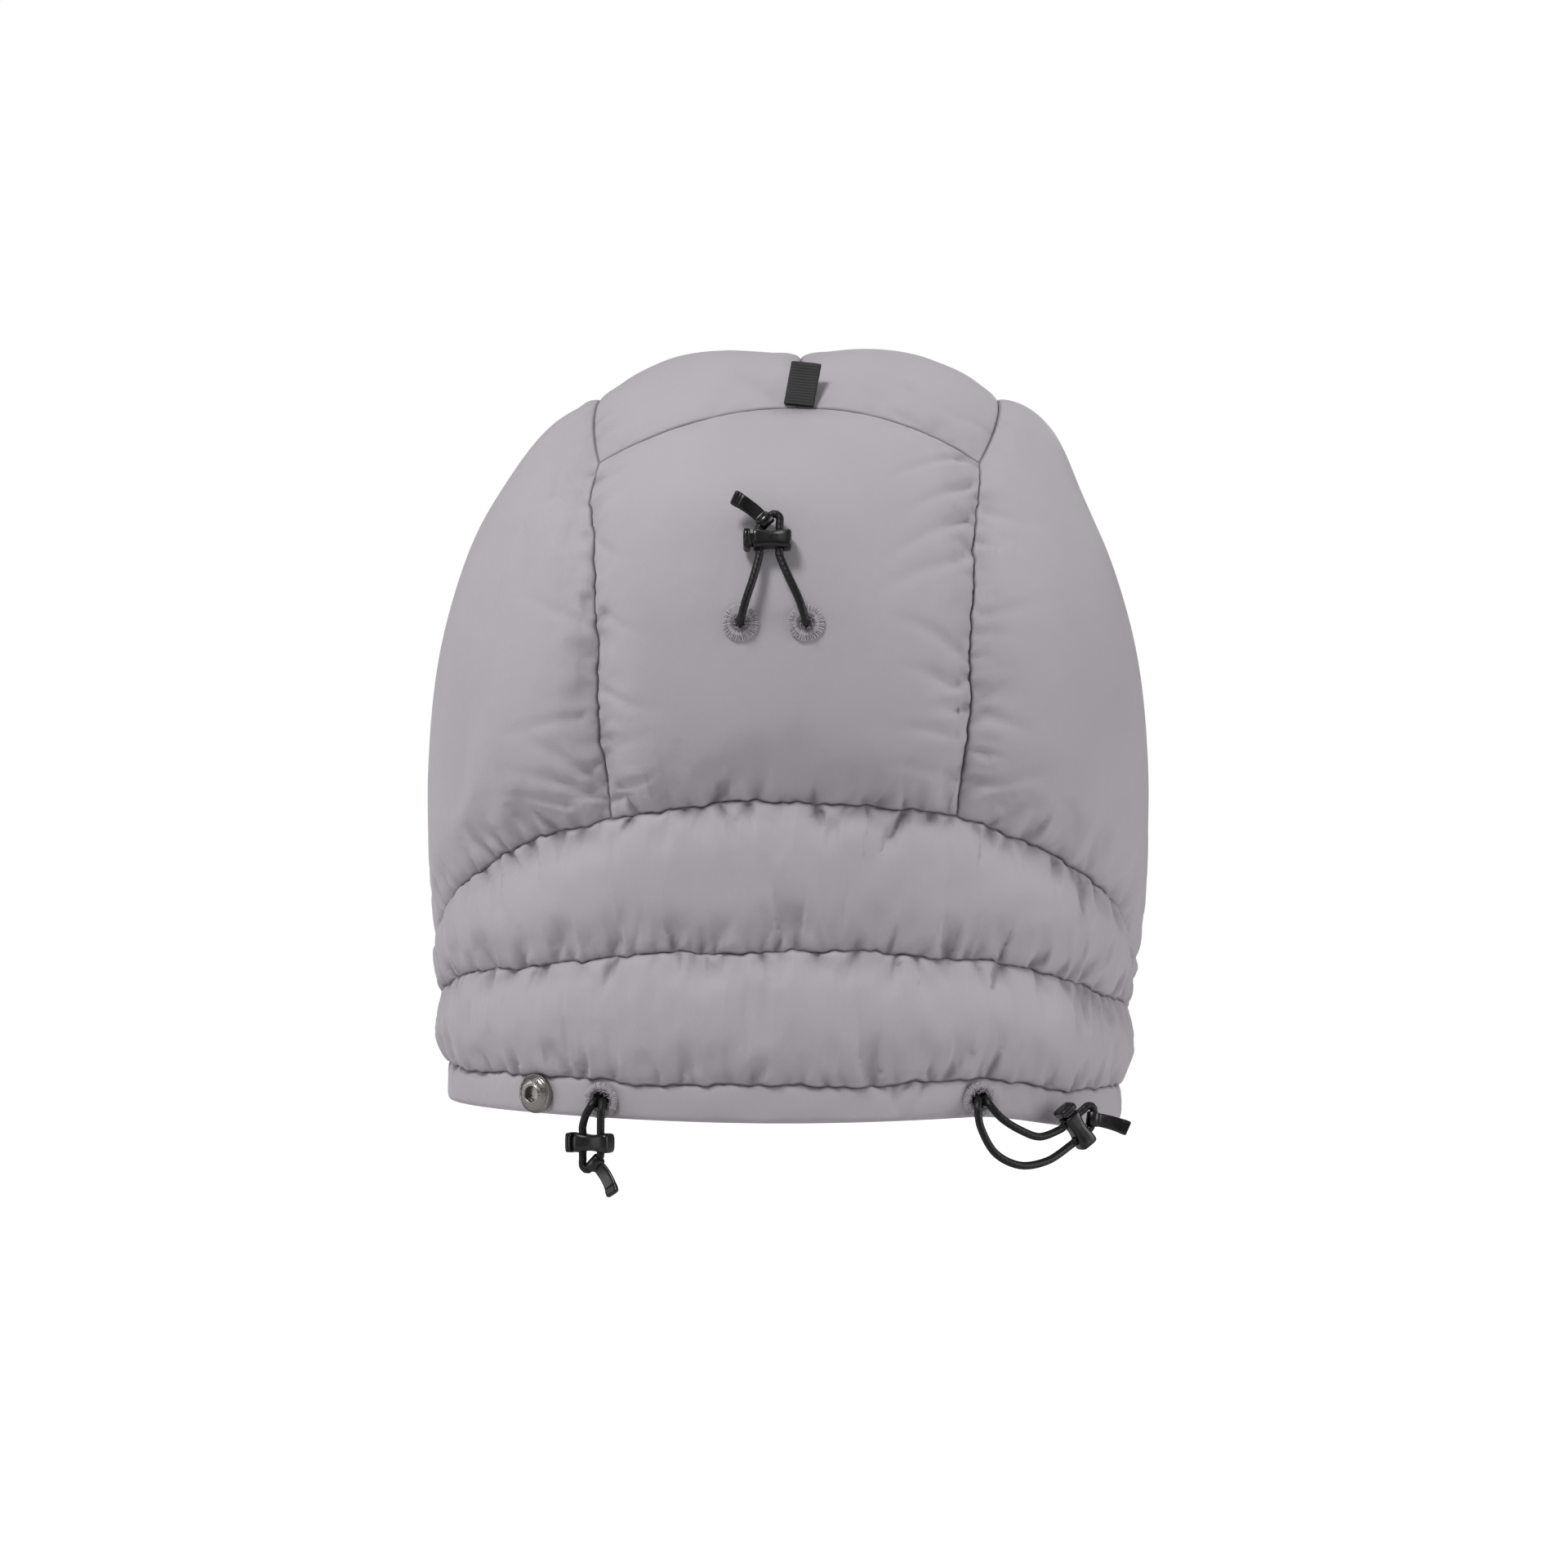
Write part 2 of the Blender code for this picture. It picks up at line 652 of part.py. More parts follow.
clear_scene()
PARTS = collection("quilted_hood")
CUTTERS = collection("cutters", hidden=True)
NYLON = finish_of("grey nylon taffeta", (0.38, 0.37, 0.39), 0.75)
LINING = finish_of("grey lining taffeta", (0.33, 0.32, 0.34), 0.75)
BATT = finish_of("white polyester batt", (0.85, 0.85, 0.83), 0.95)
WEBBING = finish_of("black grosgrain webbing", (0.015, 0.015, 0.016), 0.7)
THREAD = finish_of("light grey embroidery thread", (0.5, 0.5, 0.52), 0.6)
ELASTIC = finish_of("black braided elastic cord", (0.012, 0.012, 0.013), 0.6)
PLASTIC = finish_of("black acetal", (0.02, 0.02, 0.022), 0.45)
STEEL = finish_of("spring steel", (0.55, 0.55, 0.56), 0.35, 1.0)
GUNMETAL = finish_of("gunmetal brass", (0.12, 0.12, 0.13), 0.35, 1.0)


# ---------------------------------------------------------------- fabric parts


def make_panels():
    nape, collar, band = nape_height, collar_height, band_height
    side, top, crown, middle = side_seam(), top_seam(), crown_seam(), middle_seam()
    back_low = ring_seam(nape, -PANEL_ANGLE, PANEL_ANGLE)
    back_high = np.vstack([mirrored(flipped(crown)), crown[1:]])
    back = patch(back_low, back_high, mirrored(side), side, 10, 8)
    face_low = ring_seam(collar, COLLAR_END, COLLAR_END + 0.001, 1)[0]
    face_side = face_part(lambda p: p[:, 2] >= face_low[2], lambda p: p[:, 2] >= BRIM_CORNER[2])
    brim = face_part(lambda p: p[:, 2] >= BRIM_CORNER[2], lambda p: p[:, 0] <= 0)
    side_low = np.vstack([ring_seam(nape, PANEL_ANGLE, TIP_ANGLE),
                          ring_seam(collar, TIP_ANGLE + 0.02, COLLAR_END)])
    right = patch(side_low, top, side, face_side, 9, 8)
    crown_right = patch(crown, brim[::-1], middle, top, 6, 8)
    tip = [ring_points(a, h(a)) for a in (-TIP_ANGLE, TIP_ANGLE) for h in (collar, nape)]
    nape_grid = patch(ring_seam(collar, -TIP_ANGLE, TIP_ANGLE),
                      ring_seam(nape, -TIP_ANGLE, TIP_ANGLE),
                      np.array(tip[:2]), np.array(tip[2:]), 18, 4)
    ends = [(s * COLLAR_END, s * BAND_END) for s in (-1, 1)]
    edges = [np.array([ring_points(b, band(b)), ring_points(a, collar(a))]) for a, b in ends]
    collar_grid = patch(ring_seam(band, -BAND_END, BAND_END),
                        ring_seam(collar, -COLLAR_END, COLLAR_END), *edges, 22, 4)
    cloths = (NYLON, BATT, LINING)
    panel("crown_right", crown_right, PUFF["crown"], *cloths)
    panel("crown_left", mirrored(crown_right), PUFF["crown"], *cloths)
    panel("side_right", right, PUFF["side"], *cloths)
    panel("side_left", mirrored(right), PUFF["side"], *cloths)
    panel("nape_baffle", nape_grid, PUFF["nape"], *cloths)
    panel("collar_baffle", collar_grid, PUFF["collar"], *cloths)
    return panel("back_centre", back, PUFF["back"], *cloths)


def band_layer(name, low, high, inner, outer, end_shift, material):
    """Part of the hem band, between two heights and two distances from the seam surface."""
    columns = 44
    angles = np.linspace(-HEM_END - end_shift, HEM_END + end_shift, columns + 1)
    grid = np.stack([ring_points(angles, h + hem_lift(angles)) for h in (low, high)])
    out = normals(grid)
    out[..., 2] = 0
    out /= np.linalg.norm(out, axis=-1, keepdims=True)
    return layer(name, placed(grid + out * inner), placed(grid + out * outer), material)


def make_hem_channel():
    top = HEM_BAND - SEAM_INSET
    channel = band_layer("hem_channel", 0, top, -CHANNEL_HALF, CHANNEL_HALF, 0, NYLON)
    cavity = band_layer("channel_cavity", CHANNEL_WALL, top - CHANNEL_WALL, -CHANNEL_CAVITY / 2,
                        CHANNEL_CAVITY / 2, 0.03, None)
    cut(channel, cavity)
    return channel


def make_binding():
    """A folded edge binding, round the whole face opening, just in front of the panels."""
    right = between(FACE_EDGE, np.linspace(0, 1, 19))
    edge = np.vstack([mirrored(right), flipped(right)[1:]])
    edge[:, 1] += BINDING / 2 + GAP
    tube("face_binding", placed(edge), BINDING, NYLON)


# ---------------------------------------------------------------- eyelets and snap


def make_eyelet(name, frame, hole, wall):
    """Satin stitching over the cloth round a hole, with a short barrel through it."""
    inner = hole / 2
    barrel = inner + EYELET_BARREL_WALL
    outer = EYELET_OUTER / 2
    soft = EYELET_RAISE * 0.4
    crown = EYELET_RAISE + GAP
    profile = [(barrel, GAP), (barrel, -wall), (inner, -wall), (inner, EYELET_RAISE - soft),
               (inner + soft, crown), (outer - 2 * soft, crown), (outer, GAP + soft), (outer, GAP)]
    turned(name, profile, THREAD, frame, 20)
    return pin(f"{name}_hole", barrel + GAP, (0, 0, -wall * 3), (0, 0, EYELET_OUTER), frame=frame)


def make_snap(frame):
    """Ring-spring socket outside the band, riveted through it to a back cap."""
    outer, hole, post, cap = SNAP_OUTER / 2, SNAP_HOLE / 2, SNAP_POST / 2, SNAP_CAP / 2
    base = CHANNEL_HALF + GAP
    floor = base + SNAP_FLOOR
    top = base + SNAP_TALL
    well = hole + SNAP_WELL
    socket = [(hole, top - SNAP_LIP), (hole, top), (outer - SNAP_FACE, top),
              (outer - SNAP_EDGE, top - SNAP_DOME), (outer, base + SNAP_SKIRT), (outer - SNAP_FOOT, base),
              (post + GAP, base), (post + GAP, floor), (well, floor), (well, top - SNAP_LIP)]
    turned("snap_socket", socket, GUNMETAL, frame, 28)
    middle = hole + SNAP_WIRE_IN
    centre = floor + SNAP_SKIRT
    ring = [(middle + SNAP_WIRE * math.cos(a), centre + SNAP_WIRE * math.sin(a))
            for a in (math.radians(-60 * k) for k in range(6))]
    turned("snap_spring", ring, STEEL, frame, 20)
    back = -CHANNEL_HALF - GAP
    head = floor + GAP
    clench = post + RIVET_CLENCH
    edge, edge_deep, crown, crown_deep, middle_deep = RIVET_CAP
    rivet = [(0, head + RIVET_HEAD), (clench, head + RIVET_HEAD), (clench, head), (post, head - GAP / 3),
             (post, back), (cap, back), (cap - edge, back - edge_deep), (cap - crown, back - crown_deep),
             (0, back - middle_deep)]
    turned("snap_rivet", rivet, GUNMETAL, frame, 20)
    reach = CHANNEL_HALF * 2
    return pin("snap_hole", post + GAP, (0, 0, -reach), (0, 0, reach), frame=frame)


def make_hanging_loop():
    """A doubled tape, sewn into the crown seam and leaning up against the crown."""
    frame = surface_frame(LOOP_X, CROWN_SEAM_HEIGHT, SEAM_OUT + 2 * GAP)
    frame = frame @ Matrix.Rotation(LOOP_TURN, 4, "Z") @ Matrix.Rotation(LOOP_STAND, 4, "X")
    inner = GAP
    outer = inner + LOOP_TAPE
    fold = [math.radians(180 * k / 6) for k in range(7)]
    top = LOOP_LENGTH - outer
    outside = [(outer * math.cos(a), top + outer * math.sin(a)) for a in fold]
    inside = [(inner * math.cos(a), top + inner * math.sin(a)) for a in flipped(np.array(fold))]
    outline = [(outer, 0)] + outside + [(-outer, 0), (-inner, 0)] + inside + [(inner, 0)]
    data = bpy.data.curves.new("hang_loop", "CURVE")
    data.dimensions = "2D"
    data.fill_mode = "BOTH"
    data.extrude = LOOP_WIDTH / 2
    spline = data.splines.new("POLY")
    spline.points.add(len(outline) - 1)
    for place, (depth, up) in zip(spline.points, outline):
        place.co = (depth, up, 0, 1)
    spline.use_cyclic_u = True
    data.materials.append(WEBBING)
    obj = bpy.data.objects.new("hang_loop", data)
    PARTS.objects.link(obj)
    lift = Matrix.Translation((0, GAP, outer + GAP))
    obj.matrix_world = frame @ lift @ Matrix.Rotation(math.radians(-90), 4, "Y")


# ---------------------------------------------------------------- cord locks


def lock_frame(name):
    """A lock's own frame: +X from the button along the lock and +Z to its loop."""
    x, height, stand_off, drop, turn, tilt, roll, hangs, _ = LOCKS[name]
    point = back_point(x, max(height, CHANNEL_WALL))
    place = Vector(placed(point + normals(point) * stand_off)) - Vector((0, 0, drop))
    frame = Matrix.Translation(place) @ Matrix.Rotation(turn, 4, "Z") @ Matrix.Rotation(-tilt, 4, "X")
    frame = frame @ Matrix.Rotation(-roll, 4, "Y")
    if hangs:
        return frame @ Matrix.Scale(-1, 4, (0, 0, 1)) @ Matrix.Scale(-1, 4, (0, 1, 0))
    return frame


def lock_places():
    """Places along the lock, from its open end."""
    start = -(LOCK_LENGTH - BUTTON_HEAD - BUTTON_GAP) / 2
    first = start + LOCK_FIRST_CORD
    second = first + STRAND_SPACING
    reach = CORD / 2 + CROSSBAR_GAP
    return start, first, second, first + reach, second + reach


def make_lock_body(name, frame):
    start, first, second = lock_places()[:3]
    half, clear = LOCK_SIDE / 2, CORD_CLEARANCE
    inner_y, inner_z = half - LOCK_WALL, half - LOCK_CORD_WALL
    end = start + LOCK_LENGTH
    body = box(f"lock_body_{name}", (start, -half, -half), (end, half, half), PLASTIC, frame)
    rounded(body, LOCK_ROUNDING)
    chamber = box(f"chamber_{name}", (start - half, -inner_y, -inner_z),
                  (end - LOCK_WALL, inner_y, inner_z), frame=frame)
    cut(body, chamber)
    for number, x in enumerate((first, second)):
        cut(body, pin(f"cord_way_{name}_{number}", CORD / 2 + clear, (x, 0, -LOCK_SIDE),
                      (x, 0, LOCK_SIDE), frame=frame, sides=12))
    post_end = second - CORD / 2 - clear
    post = box(f"post_{name}", (post_end - LOCK_POST, -CORD / 2, -inner_z - clear),
               (post_end, CORD / 2, inner_z + clear), frame=frame)
    combine(body, post, "UNION")
    return body


def make_button(name, frame):
    """The sprung frame inside the lock, with its head outside the open end."""
    start, first, _, bar, stop = lock_places()
    half = LOCK_SIDE / 2
    wide, tall = half - LOCK_WALL - GAP, half - LOCK_CORD_WALL - GAP
    face = start - BUTTON_GAP
    head = box(f"lock_button_{name}", (face - BUTTON_HEAD, -half, -half), (face, half, half),
               PLASTIC, frame)
    rounded(head, BUTTON_HEAD / 3)
    window = wide - BUTTON_RAIL
    slide = box(f"slide_{name}", (face - BUTTON_HEAD / 2, -wide, -tall), (stop + CROSSBAR, wide, tall),
                frame=frame)
    combine(head, slide, "UNION")
    lead = first - CORD / 2 - BUTTON_TRAVEL - CROSSBAR_GAP
    for number, (low, high) in enumerate(((lead, bar), (bar + CROSSBAR, stop))):
        cut(head, box(f"window_{name}_{number}", (low, -window, -half), (high, window, half),
                      frame=frame))
    return head


def make_lock_spring(name, frame):
    _, _, second, bar, _ = lock_places()
    low = bar + CROSSBAR + CROSSBAR_GAP + SPRING_WIRE / 2
    high = second - CORD / 2 - CORD_CLEARANCE - LOCK_POST - CROSSBAR_GAP - SPRING_WIRE / 2
    count = round(SPRING_TURNS * 8)
    points = []
    for k in range(count + 1):
        share = k / count
        angle = 2 * math.pi * SPRING_TURNS * share
        y, z = SPRING_RADIUS * math.cos(angle), SPRING_RADIUS * math.sin(angle)
        points.append(frame @ Vector((low + (high - low) * share, y, z)))
    tube(f"lock_spring_{name}", points, SPRING_WIRE, STEEL)


def make_tab(name, frame):
    """A pull tab: an eye that the cord runs through, and an arm that curls away from the cloth."""
    eye, hole, half = TAB_EYE / 2, CORD / 2 + TAB_EYE_CLEARANCE, TAB_THICK / 2
    open_angle = math.asin(half / eye)
    around = np.linspace(open_angle, 2 * math.pi - open_angle, 13)
    along = np.linspace(eye * 1.35, TAB_LENGTH, 6)
    curl = TAB_CURL * ((along - eye) / (TAB_LENGTH - eye)) ** 2
    upper = list(zip(along, curl + half))
    lower = list(zip(along[::-1], (curl - half)[::-1]))
    outline = [(eye * math.cos(a), eye * math.sin(a)) for a in around] + lower[::-1]
    tip = (TAB_LENGTH + half * 0.6, TAB_CURL + half * 0.4)
    outline += [tip] + upper[::-1]
    turns = np.linspace(0, 2 * math.pi, 14, endpoint=False)
    round_hole = [(hole * math.cos(a), hole * math.sin(a)) for a in turns]
    data = bpy.data.curves.new(f"pull_tab_{name}", "CURVE")
    data.dimensions = "2D"
    data.fill_mode = "BOTH"
    data.extrude = TAB_WIDTH / 2
    for points in (outline, round_hole):
        spline = data.splines.new("POLY")
        spline.points.add(len(points) - 1)
        for place, point in zip(spline.points, points):
            place.co = (*point, 0, 1)
        spline.use_cyclic_u = True
    data.materials.append(PLASTIC)
    obj = bpy.data.objects.new(f"pull_tab_{name}", data)
    PARTS.objects.link(obj)
    obj.matrix_world = frame @ tab_turn(name)


def tab_turn(name):
    """The tab in its lock's frame: +X along the arm, +Y away from the cloth, +Z along the cord."""
    hangs, hand = LOCKS[name][-2:]
    arm = TAB_ARM_WAY * Vector((hand, 1, 1))
    depth = Vector((0, 1 if hangs else -1, 0))
    turn = Matrix((arm, depth, arm.cross(depth))).transposed().to_4x4()
    turn.translation = TAB_EYE_CENTRE
    if hand < 0:
        turn.translation.x = 2 * STRANDS_MIDDLE - TAB_EYE_CENTRE.x
    return turn


def make_loop(name, frame, entries):
    """The drawn-out cord: in through one strand of the lock, round the tab's eye and back."""
    up, down = ([Vector(p) / 1000 for p in strand] for strand in STRANDS[name])
    middle = [Vector(p) / 1000 for p in LOOP_TOP]
    if LOCKS[name][-1] < 0:
        middle = [Vector((2 * STRANDS_MIDDLE - p.x, p.y, p.z)) for p in reversed(middle)]
    middle = [frame @ p for p in middle]
    route = [*entries[0], *up, *middle, *down, *reversed(entries[1])]
    tube(f"cord_loop_{name}", smooth_route(route, CORD * 2), CORD, ELASTIC)


def entry(frame, off, depth):
    """Where a strand passes an eyelet: its end inside, and the eyelet's mouth."""
    return [frame @ Vector((0, 0, -depth)), frame @ Vector((0, 0, off))]


def make_hem_elastic(stops):
    """The lengths of elastic that stay inside the channel, between and beyond the eyelets."""
    snap_angle = angle_at(SNAP_X)
    pieces = {"left": (-HEM_END, stops[0][0]), "back": (stops[0][1], stops[1][0]),
              "right": (stops[1][1], HEM_END)}
    for name, (start, end) in pieces.items():
        angles = np.linspace(start, end, max(6, round(abs(end - start) * 9)))
        angles = np.unique(np.concatenate([angles, snap_angle + np.linspace(-0.3, 0.3, 9)]))
        angles = angles[(angles >= start) & (angles <= end)]
        dip = ELASTIC_DIP * np.exp(-((angles - snap_angle) / 0.12) ** 2)
        heights = HEM_EYELET_HEIGHT - dip + hem_lift(angles)
        tube(f"hem_elastic_{name}", placed(ring_points(angles, heights)), CORD, ELASTIC)


def angle_at(x):
    angles = np.linspace(-1.6, 1.6, 3201)
    points = ring_points(angles, HEM_EYELET_HEIGHT + hem_lift(angles))
    return angles[np.argmin(np.abs(points[:, 0] - x))]


def main():
    back_shell, back_fill = make_panels()
    channel = make_hem_channel()
    make_binding()
    make_hanging_loop()

    back_off = SEAM_FILL + PUFF["back"] + GAP + FABRIC
    entries = []
    for side, x in zip(("left", "right"), BACK_EYELETS_X):
        frame = surface_frame(x, BACK_EYELET_HEIGHT, back_off)
        hole = make_eyelet(f"eyelet_back_{side}", frame, BACK_EYELET_HOLE, FABRIC)
        cut(back_shell, hole)
        entries.append(entry(frame, STRAND_CLEAR, ADJUSTER_DEPTH + FABRIC))
        make_adjuster(side, x, back_fill)
    make_loop("back", lock_frame("back"), entries)

    stops = []
    for name, x in zip(("hem_left", "hem_right"), HEM_EYELETS_X):
        angle = angle_at(x)
        lift = float(hem_lift(angle))
        frame = surface_frame(x, HEM_EYELET_HEIGHT + lift, CHANNEL_HALF)
        hole = make_eyelet(f"eyelet_{name}", frame, HEM_EYELET_HOLE, CHANNEL_WALL)
        cut(channel, hole)
        apart = (CORD + STRAND_GAP) / 2
        strands = [frame @ Matrix.Translation((way * apart, 0, 0)) for way in (-1, 1)]
        ends = [entry(strand, STRAND_CLEAR, CHANNEL_HALF) for strand in strands]
        if x > 0:
            ends.reverse()
        make_loop(name, lock_frame(name), ends)
        reach = (apart + CORD / 2 + GAP) / np.linalg.norm(ring_points(angle, HEM_EYELET_HEIGHT)[:2])
        stops.append((angle - reach, angle + reach))
    make_hem_elastic(stops)
    snap_lift = float(hem_lift(angle_at(SNAP_X)))
    cut(channel, make_snap(surface_frame(SNAP_X, SNAP_HEIGHT + snap_lift)))

    for name in LOCKS:
        frame = lock_frame(name)
        make_lock_body(name, frame)
        make_button(name, frame)
        make_lock_spring(name, frame)
        make_tab(name, frame)


def make_adjuster(side, x, batt):
    """A length of the back adjuster's elastic, in a groove of the batt under the shell."""
    way = -1 if side == "left" else 1
    start = x + way * (CORD / 2 + GAP)
    end = way * ADJUSTER_HALF
    off = SEAM_FILL + PUFF["back"]

    def along(first, last, count, offset, rise=0.0):
        places = np.linspace(first, last, count)
        points = np.array([back_point(p, BACK_EYELET_HEIGHT + rise) for p in places])
        return placed(points + normals(points) * offset)

    tube(f"adjuster_elastic_{side}", along(start, end, 5, off - ADJUSTER_DEPTH), CORD, ELASTIC)
    first, last = sorted((x - way * GROOVE_WIDTH / 2, end + way * GAP))
    half = GROOVE_WIDTH / 2
    deep, open_to = off - GROOVE_DEPTH, off + GROOVE_DEPTH
    low = np.stack([along(first, last, 5, deep, -half), along(first, last, 5, deep, half)])
    high = np.stack([along(first, last, 5, open_to, -half), along(first, last, 5, open_to, half)])
    cut(batt, layer(f"groove_{side}", low, high, None))


main()
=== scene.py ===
# %% [markdown]
# An insulated, quilted hood, seen from behind: puffed nylon panels, a hem drawcord with two cord locks,
# a back adjuster with a third, a ring-spring snap, embroidered eyelets and a hanging loop of webbing.
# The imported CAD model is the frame: every piece below goes where it says, in metres, with the wearer
# facing +Y and the origin at the head seat. The drawing starts with the frame and its box.

# %% Load the frame
import json
import math

import bmesh
import bpy
import numpy as np
from mathutils import Matrix, Vector


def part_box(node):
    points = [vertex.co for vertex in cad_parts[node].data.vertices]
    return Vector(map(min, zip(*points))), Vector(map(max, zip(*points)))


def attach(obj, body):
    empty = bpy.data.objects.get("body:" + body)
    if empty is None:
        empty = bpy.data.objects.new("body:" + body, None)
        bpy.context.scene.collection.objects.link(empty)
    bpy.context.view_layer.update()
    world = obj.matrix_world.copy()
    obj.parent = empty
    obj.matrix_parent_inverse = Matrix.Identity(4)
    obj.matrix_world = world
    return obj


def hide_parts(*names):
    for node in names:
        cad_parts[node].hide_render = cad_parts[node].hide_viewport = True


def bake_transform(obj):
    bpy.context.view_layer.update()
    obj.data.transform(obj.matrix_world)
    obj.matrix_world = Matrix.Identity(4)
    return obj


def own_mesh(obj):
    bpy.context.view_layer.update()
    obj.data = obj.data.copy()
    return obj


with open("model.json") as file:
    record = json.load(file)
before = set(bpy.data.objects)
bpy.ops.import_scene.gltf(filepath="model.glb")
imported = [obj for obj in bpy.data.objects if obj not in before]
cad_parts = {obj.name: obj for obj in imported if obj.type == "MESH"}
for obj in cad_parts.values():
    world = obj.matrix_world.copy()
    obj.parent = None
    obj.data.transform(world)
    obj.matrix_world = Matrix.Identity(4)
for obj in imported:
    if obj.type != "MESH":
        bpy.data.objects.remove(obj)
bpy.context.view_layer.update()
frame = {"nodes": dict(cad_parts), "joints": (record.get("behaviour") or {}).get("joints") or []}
JOINTS = {joint["name"]: joint for joint in frame["joints"]}

# %% [markdown]
# The camera stands behind the wearer, level with the middle of the hood and far enough away that the
# sides hardly converge, as for a catalogue. The light is a soft box above and to the left, a weaker
# fill at each side, a faint one on top and a white surround, so folds show as soft grey shades and not
# as hard shadows. The floor is well below, because a hood hangs from its wearer's head and not on a table.

# %% Camera
CAMERA_DISTANCE = 2.4
CAMERA_HEIGHT = -0.1587
PICTURE_WIDTH = 0.6144

camera_data = bpy.data.cameras.new("camera")
camera_data.sensor_width = 36
camera_data.lens = 36 * CAMERA_DISTANCE / PICTURE_WIDTH
camera = bpy.data.objects.new("camera", camera_data)
camera.location = (0, -CAMERA_DISTANCE, CAMERA_HEIGHT)
camera.rotation_euler = (math.radians(90), 0, 0)
bpy.context.scene.collection.objects.link(camera)
bpy.context.scene.camera = camera
bpy.context.scene.view_settings.view_transform = "Standard"
print("lens", round(camera_data.lens), "mm")

# %% Colours and nodes
def linear(code):
    """The linear RGBA of an sRGB hex code."""
    parts = [int(code[k:k + 2], 16) / 255 for k in (0, 2, 4)]
    return (*[c / 12.92 if c <= 0.04045 else ((c + 0.055) / 1.055) ** 2.4 for c in parts], 1)


def add(tree, kind, inputs=None, **settings):
    """A node of this kind with its settings, each input a value or another node's socket."""
    node = tree.nodes.new(kind)
    for name, value in settings.items():
        setattr(node, name, value)
    for name, value in (inputs or {}).items():
        if isinstance(value, bpy.types.NodeSocket):
            tree.links.new(value, node.inputs[name])
        else:
            node.inputs[name].default_value = value
    return node


def material(name, colour, roughness, **sockets):
    """A new material, with its tree and its shader, whose even values sit on the shader itself."""
    made = bpy.data.materials.new(name)
    made.use_nodes = True
    shader = made.node_tree.nodes["Principled BSDF"]
    shader.inputs["Base Color"].default_value = linear(colour)
    shader.inputs["Roughness"].default_value = roughness
    for socket, value in sockets.items():
        shader.inputs[socket.replace("_", " ")].default_value = value
    return made, made.node_tree, shader


def speckle(tree, place, scale, detail=2.0):
    """Fine noise that keeps to the object, for the grain of a finish."""
    return add(tree, "ShaderNodeTexNoise",
               {"Vector": place.outputs["Object"], "Scale": scale, "Detail": detail})


def emboss(tree, shader, height, strength, distance):
    """Shades a finish as if its surface rose and fell by a height."""
    bump = add(tree, "ShaderNodeBump", {"Height": height, "Strength": strength, "Distance": distance})
    tree.links.new(bump.outputs["Normal"], shader.inputs["Normal"])


# %% Light and surround
FLOOR_HEIGHT = -0.50


def area_light(name, place, aim, size, power):
    data = bpy.data.lights.new(name, "AREA")
    data.shape = "DISK"
    data.size = size
    data.energy = power
    light = bpy.data.objects.new(name, data)
    light.location = place
    light.rotation_euler = (Vector(aim) - Vector(place)).to_track_quat("-Z", "Y").to_euler()
    bpy.context.scene.collection.objects.link(light)


area_light("key above left", (-0.76, -1.22, 1.66), (0, 0, -0.12), 0.6, 34.5)
area_light("fill right", (2.0, -0.6, 0.1), (0, 0, -0.15), 1.4, 19)
area_light("fill left", (-2.0, -0.4, -0.1), (0, 0, -0.15), 1.4, 11)
area_light("top", (0.1, 0.4, 1.9), (0, 0, 0), 1.2, 5)
world = bpy.data.worlds.new("white surround")
world.use_nodes = True
surround = world.node_tree.nodes["Background"]
bpy.context.scene.world = world

floor_mesh = bpy.data.meshes.new("floor")
floor_mesh.from_pydata([(-4, -4, FLOOR_HEIGHT), (4, -4, FLOOR_HEIGHT), (4, 4, FLOOR_HEIGHT),
                        (-4, 4, FLOOR_HEIGHT)], [], [(0, 1, 2, 3)])
floor = bpy.data.objects.new("floor", floor_mesh)
bpy.context.scene.collection.objects.link(floor)
floor_finish, floor_tree, floor_shader = material("matt white floor", "DADADA", 0.9)
floor_shader.inputs["Emission Color"].default_value = (1, 1, 1, 1)
floor_mesh.materials.append(floor_finish)
# The camera sees a clean white, while the cloth is lit by a dimmer one, dimmer still from below.
ways = add(world.node_tree, "ShaderNodeTexCoord")
upward = add(world.node_tree, "ShaderNodeSeparateXYZ", {0: ways.outputs["Generated"]})
sky = add(world.node_tree, "ShaderNodeMapRange", {"Value": upward.outputs["Z"], "From Min": -0.4,
                                                  "From Max": 0.5, "To Min": 0.06, "To Max": 0.29})
for tree, socket, dim, bright in (
        (world.node_tree, surround.inputs["Strength"], sky.outputs["Result"], 1.0),
        (floor_tree, floor_shader.inputs["Emission Strength"], 0.0, 0.88)):
    seen = add(tree, "ShaderNodeLightPath")
    strength = add(tree, "ShaderNodeMapRange", {"Value": seen.outputs["Is Camera Ray"], "To Min": dim,
                                                "To Max": bright})
    tree.links.new(strength.outputs["Result"], socket)
surround.inputs["Color"].default_value = (1, 1, 1, 1)

# %% [markdown]
# Elastic drawcord is a bundle of rubber threads in a braided sheath, 3 mm across. Sixteen carriers
# braid the sheath, so it shows two crossing sets of slanted ribs with a dull satin gleam. A curve with
# a round section would do for the shape, but the braid has to run with the cord, so the tube is made
# point by point: rings of vertices carry the angle round the cord and the distance along it in a UV map
# that the material reads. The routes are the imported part's own, drawn out more finely.

# %% Braided cord finish
CORD = 0.0030
BRAID_PITCH = 0.0021
CARRIERS = 16


